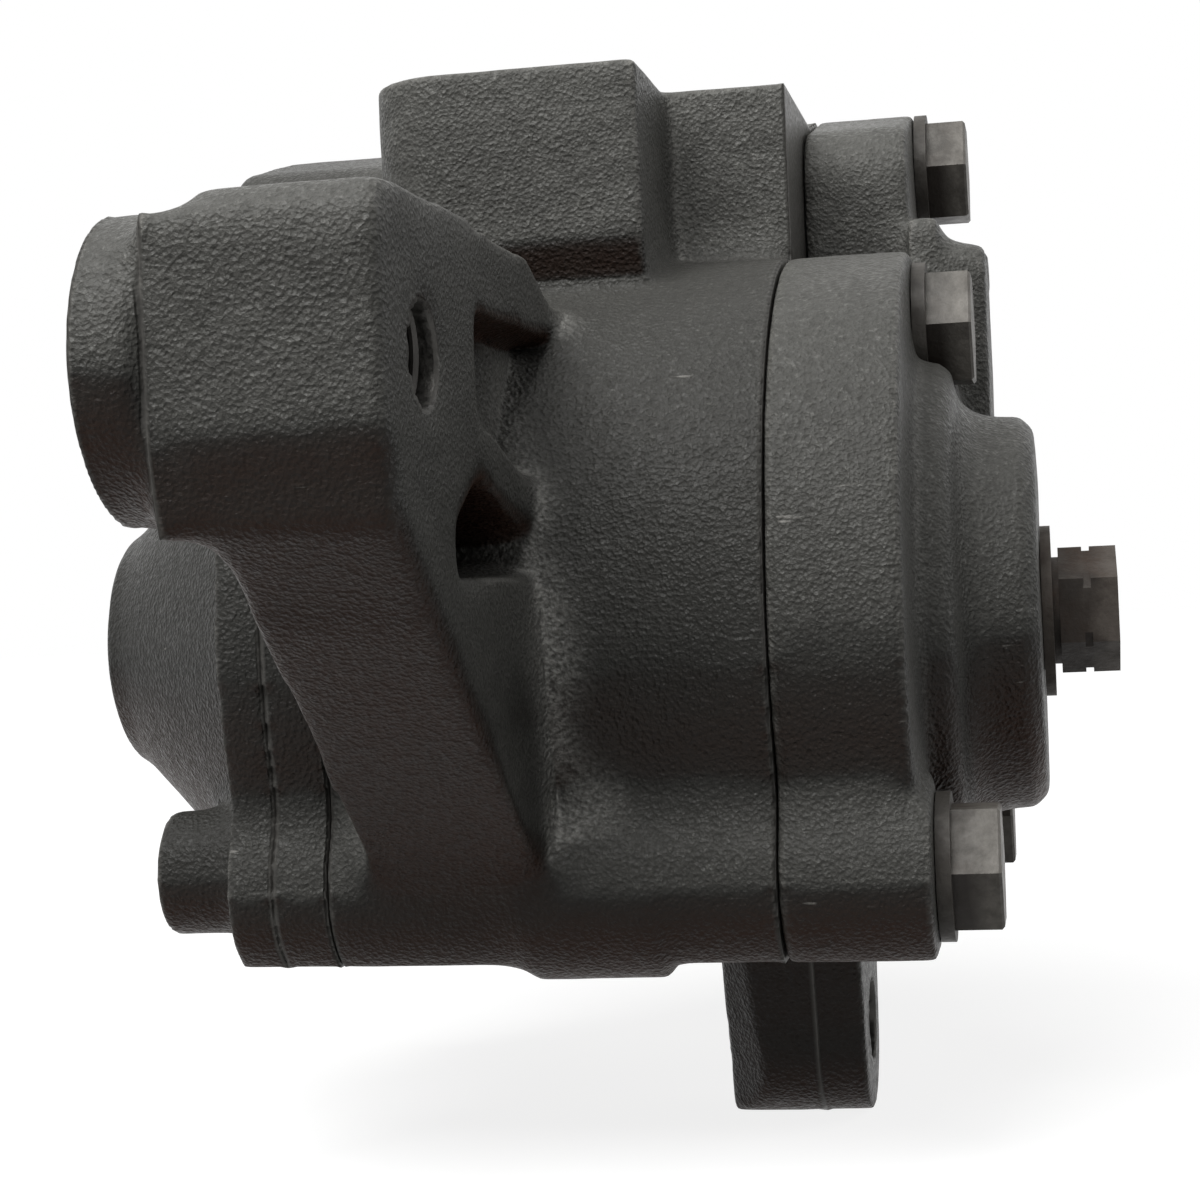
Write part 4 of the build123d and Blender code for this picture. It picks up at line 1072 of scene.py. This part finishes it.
class VANEPUMP_OT_stage(bpy.types.Operator):
    """Set up the floor, the lamps, the room and the camera."""

    bl_idname = "vanepump.stage"
    bl_label = "Stage"

    def execute(self, context):
        scene = context.scene
        stage = scene.vane_pump_stage
        self.make_camera(scene, stage)
        low, high = (Vector(corner) for corner in CAD_BOUNDS)
        middle = (low + high) / 2
        for name, power, size, offset in (
            ("key_lamp", stage.key_power, 0.55, (-0.14, -0.34, 0.55)),
            ("fill_lamp", stage.fill_power, 0.60, (-0.16, -0.62, 0.12)),
            ("side_lamp", stage.side_power, 0.50, (0.62, 0.16, 0.30)),
        ):
            add_lamp(name, power, size, middle + Vector(offset), middle)
        self.make_floor(low.z, middle, stage)
        self.make_room(scene, stage)
        scene.view_settings.view_transform = "Standard"
        return {"FINISHED"}

    @staticmethod
    def make_camera(scene, stage):
        """A camera that leans a little about its own axis."""
        aim = Vector(stage.camera_aim).normalized()
        right = aim.cross(Vector((0, 0, 1))).normalized()
        up = right.cross(aim)
        lean = stage.camera_roll
        leaned_right = right * math.cos(lean) - up * math.sin(lean)
        leaned_up = up * math.cos(lean) + right * math.sin(lean)
        data = bpy.data.cameras.new("camera")
        data.lens = stage.lens
        data.sensor_width = 36.0
        data.clip_start = 0.01
        camera = bpy.data.objects.new("camera", data)
        turn = Matrix((leaned_right, leaned_up, -aim)).transposed()
        camera.matrix_world = Matrix.Translation(Vector(stage.camera_place)) @ turn.to_4x4()
        scene.collection.objects.link(camera)
        scene.camera = camera

    @staticmethod
    def make_floor(height, middle, stage):
        """A pale floor that shows white and keeps the object's shadow."""
        shape = bmesh.new()
        bmesh.ops.create_grid(shape, x_segments=8, y_segments=8, size=3.0)
        mesh = bpy.data.meshes.new("floor")
        shape.to_mesh(mesh)
        shape.free()
        floor = bpy.data.objects.new("floor", mesh)
        floor.location = (middle.x, middle.y, height - 0.2 * MM)
        bpy.context.scene.collection.objects.link(floor)
        made, tree, shader = start_material("floor_paint")
        where = place(tree)
        seen = seen_directly(tree)
        stain = cloud(tree, where, 60 * MM, 3.0, 0.5)
        pale = tint(tree, band(tree, stain, 0.3, 0.7), stage.floor, [0.97 * c for c in stage.floor])
        tree.links.new(tint(tree, seen, stage.floor_in_room, pale), shader.inputs["Base Color"])
        shader.inputs["Roughness"].default_value = 0.9
        shader.inputs["Specular IOR Level"].default_value = 0.0
        far = add_node(tree, "ShaderNodeVectorMath", {0: where}, operation="LENGTH")
        glow = product(tree, seen, band(tree, far.outputs["Value"], 0.16, 0.60, 0.84, 1.0))
        tree.links.new(glow, shader.inputs["Emission Strength"])
        shader.inputs["Emission Color"].default_value = (1.0, 1.0, 1.0, 1.0)
        mesh.materials.append(made)

    @staticmethod
    def make_room(scene, stage):
        """Even light from all round, and a white background."""
        world = bpy.data.worlds.new("room")
        world.use_nodes = True
        tree = world.node_tree
        tree.nodes.clear()
        light = add_node(
            tree, "ShaderNodeBackground", {"Color": (1.0, 1.0, 1.0), "Strength": stage.ambient}
        )
        white = add_node(tree, "ShaderNodeBackground", {"Color": (1.0, 1.0, 1.0), "Strength": 1.0})
        mixed = add_node(
            tree,
            "ShaderNodeMixShader",
            {0: seen_directly(tree), 1: light.outputs[0], 2: white.outputs[0]},
        )
        output = tree.nodes.new("ShaderNodeOutputWorld")
        tree.links.new(mixed.outputs[0], output.inputs["Surface"])
        scene.world = world


OPERATORS = (
    VANEPUMP_OT_castings,
    VANEPUMP_OT_threads,
    VANEPUMP_OT_fasteners,
    VANEPUMP_OT_plug,
    VANEPUMP_OT_shaft,
    VANEPUMP_OT_cartridge,
    VANEPUMP_OT_bearing,
    VANEPUMP_OT_valve,
    VANEPUMP_OT_stage,
)
SETTINGS = (
    ("vane_pump_casting", VanePumpCastingSettings),
    ("vane_pump_paint", VanePumpPaintSettings),
    ("vane_pump_metal", VanePumpMetalSettings),
    ("vane_pump_thread", VanePumpThreadSettings),
    ("vane_pump_stage", VanePumpStageSettings),
)


class VANEPUMP_PT_panel(bpy.types.Panel):
    """Lists the pump's building steps and settings."""

    bl_idname = "VANEPUMP_PT_panel"
    bl_label = "Vane Pump"
    bl_space_type = "VIEW_3D"
    bl_region_type = "UI"
    bl_category = "Vane Pump"

    def draw(self, context):
        layout = self.layout
        for operator in OPERATORS:
            layout.operator(operator.bl_idname)
        for name, kind in SETTINGS:
            box = layout.box()
            box.label(text=kind.__doc__)
            for field in kind.__annotations__:
                box.prop(getattr(context.scene, name), field)


def register():
    """Make the settings, operators and panel known to Blender."""
    for name, kind in SETTINGS:
        bpy.utils.register_class(kind)
        setattr(bpy.types.Scene, name, bpy.props.PointerProperty(type=kind))
    for operator in OPERATORS:
        bpy.utils.register_class(operator)
    bpy.utils.register_class(VANEPUMP_PT_panel)


def unregister():
    """Take them away again."""
    bpy.utils.unregister_class(VANEPUMP_PT_panel)
    for operator in reversed(OPERATORS):
        bpy.utils.unregister_class(operator)
    for name, kind in reversed(SETTINGS):
        delattr(bpy.types.Scene, name)
        bpy.utils.unregister_class(kind)


def main():
    """Build the pump's looks."""
    register()
    bpy.ops.vanepump.castings()
    bpy.ops.vanepump.threads()
    bpy.ops.vanepump.fasteners()
    bpy.ops.vanepump.plug()
    bpy.ops.vanepump.shaft()
    bpy.ops.vanepump.cartridge()
    bpy.ops.vanepump.bearing()
    bpy.ops.vanepump.valve()
    bpy.ops.vanepump.stage()


if __name__ == "__main__":
    main()
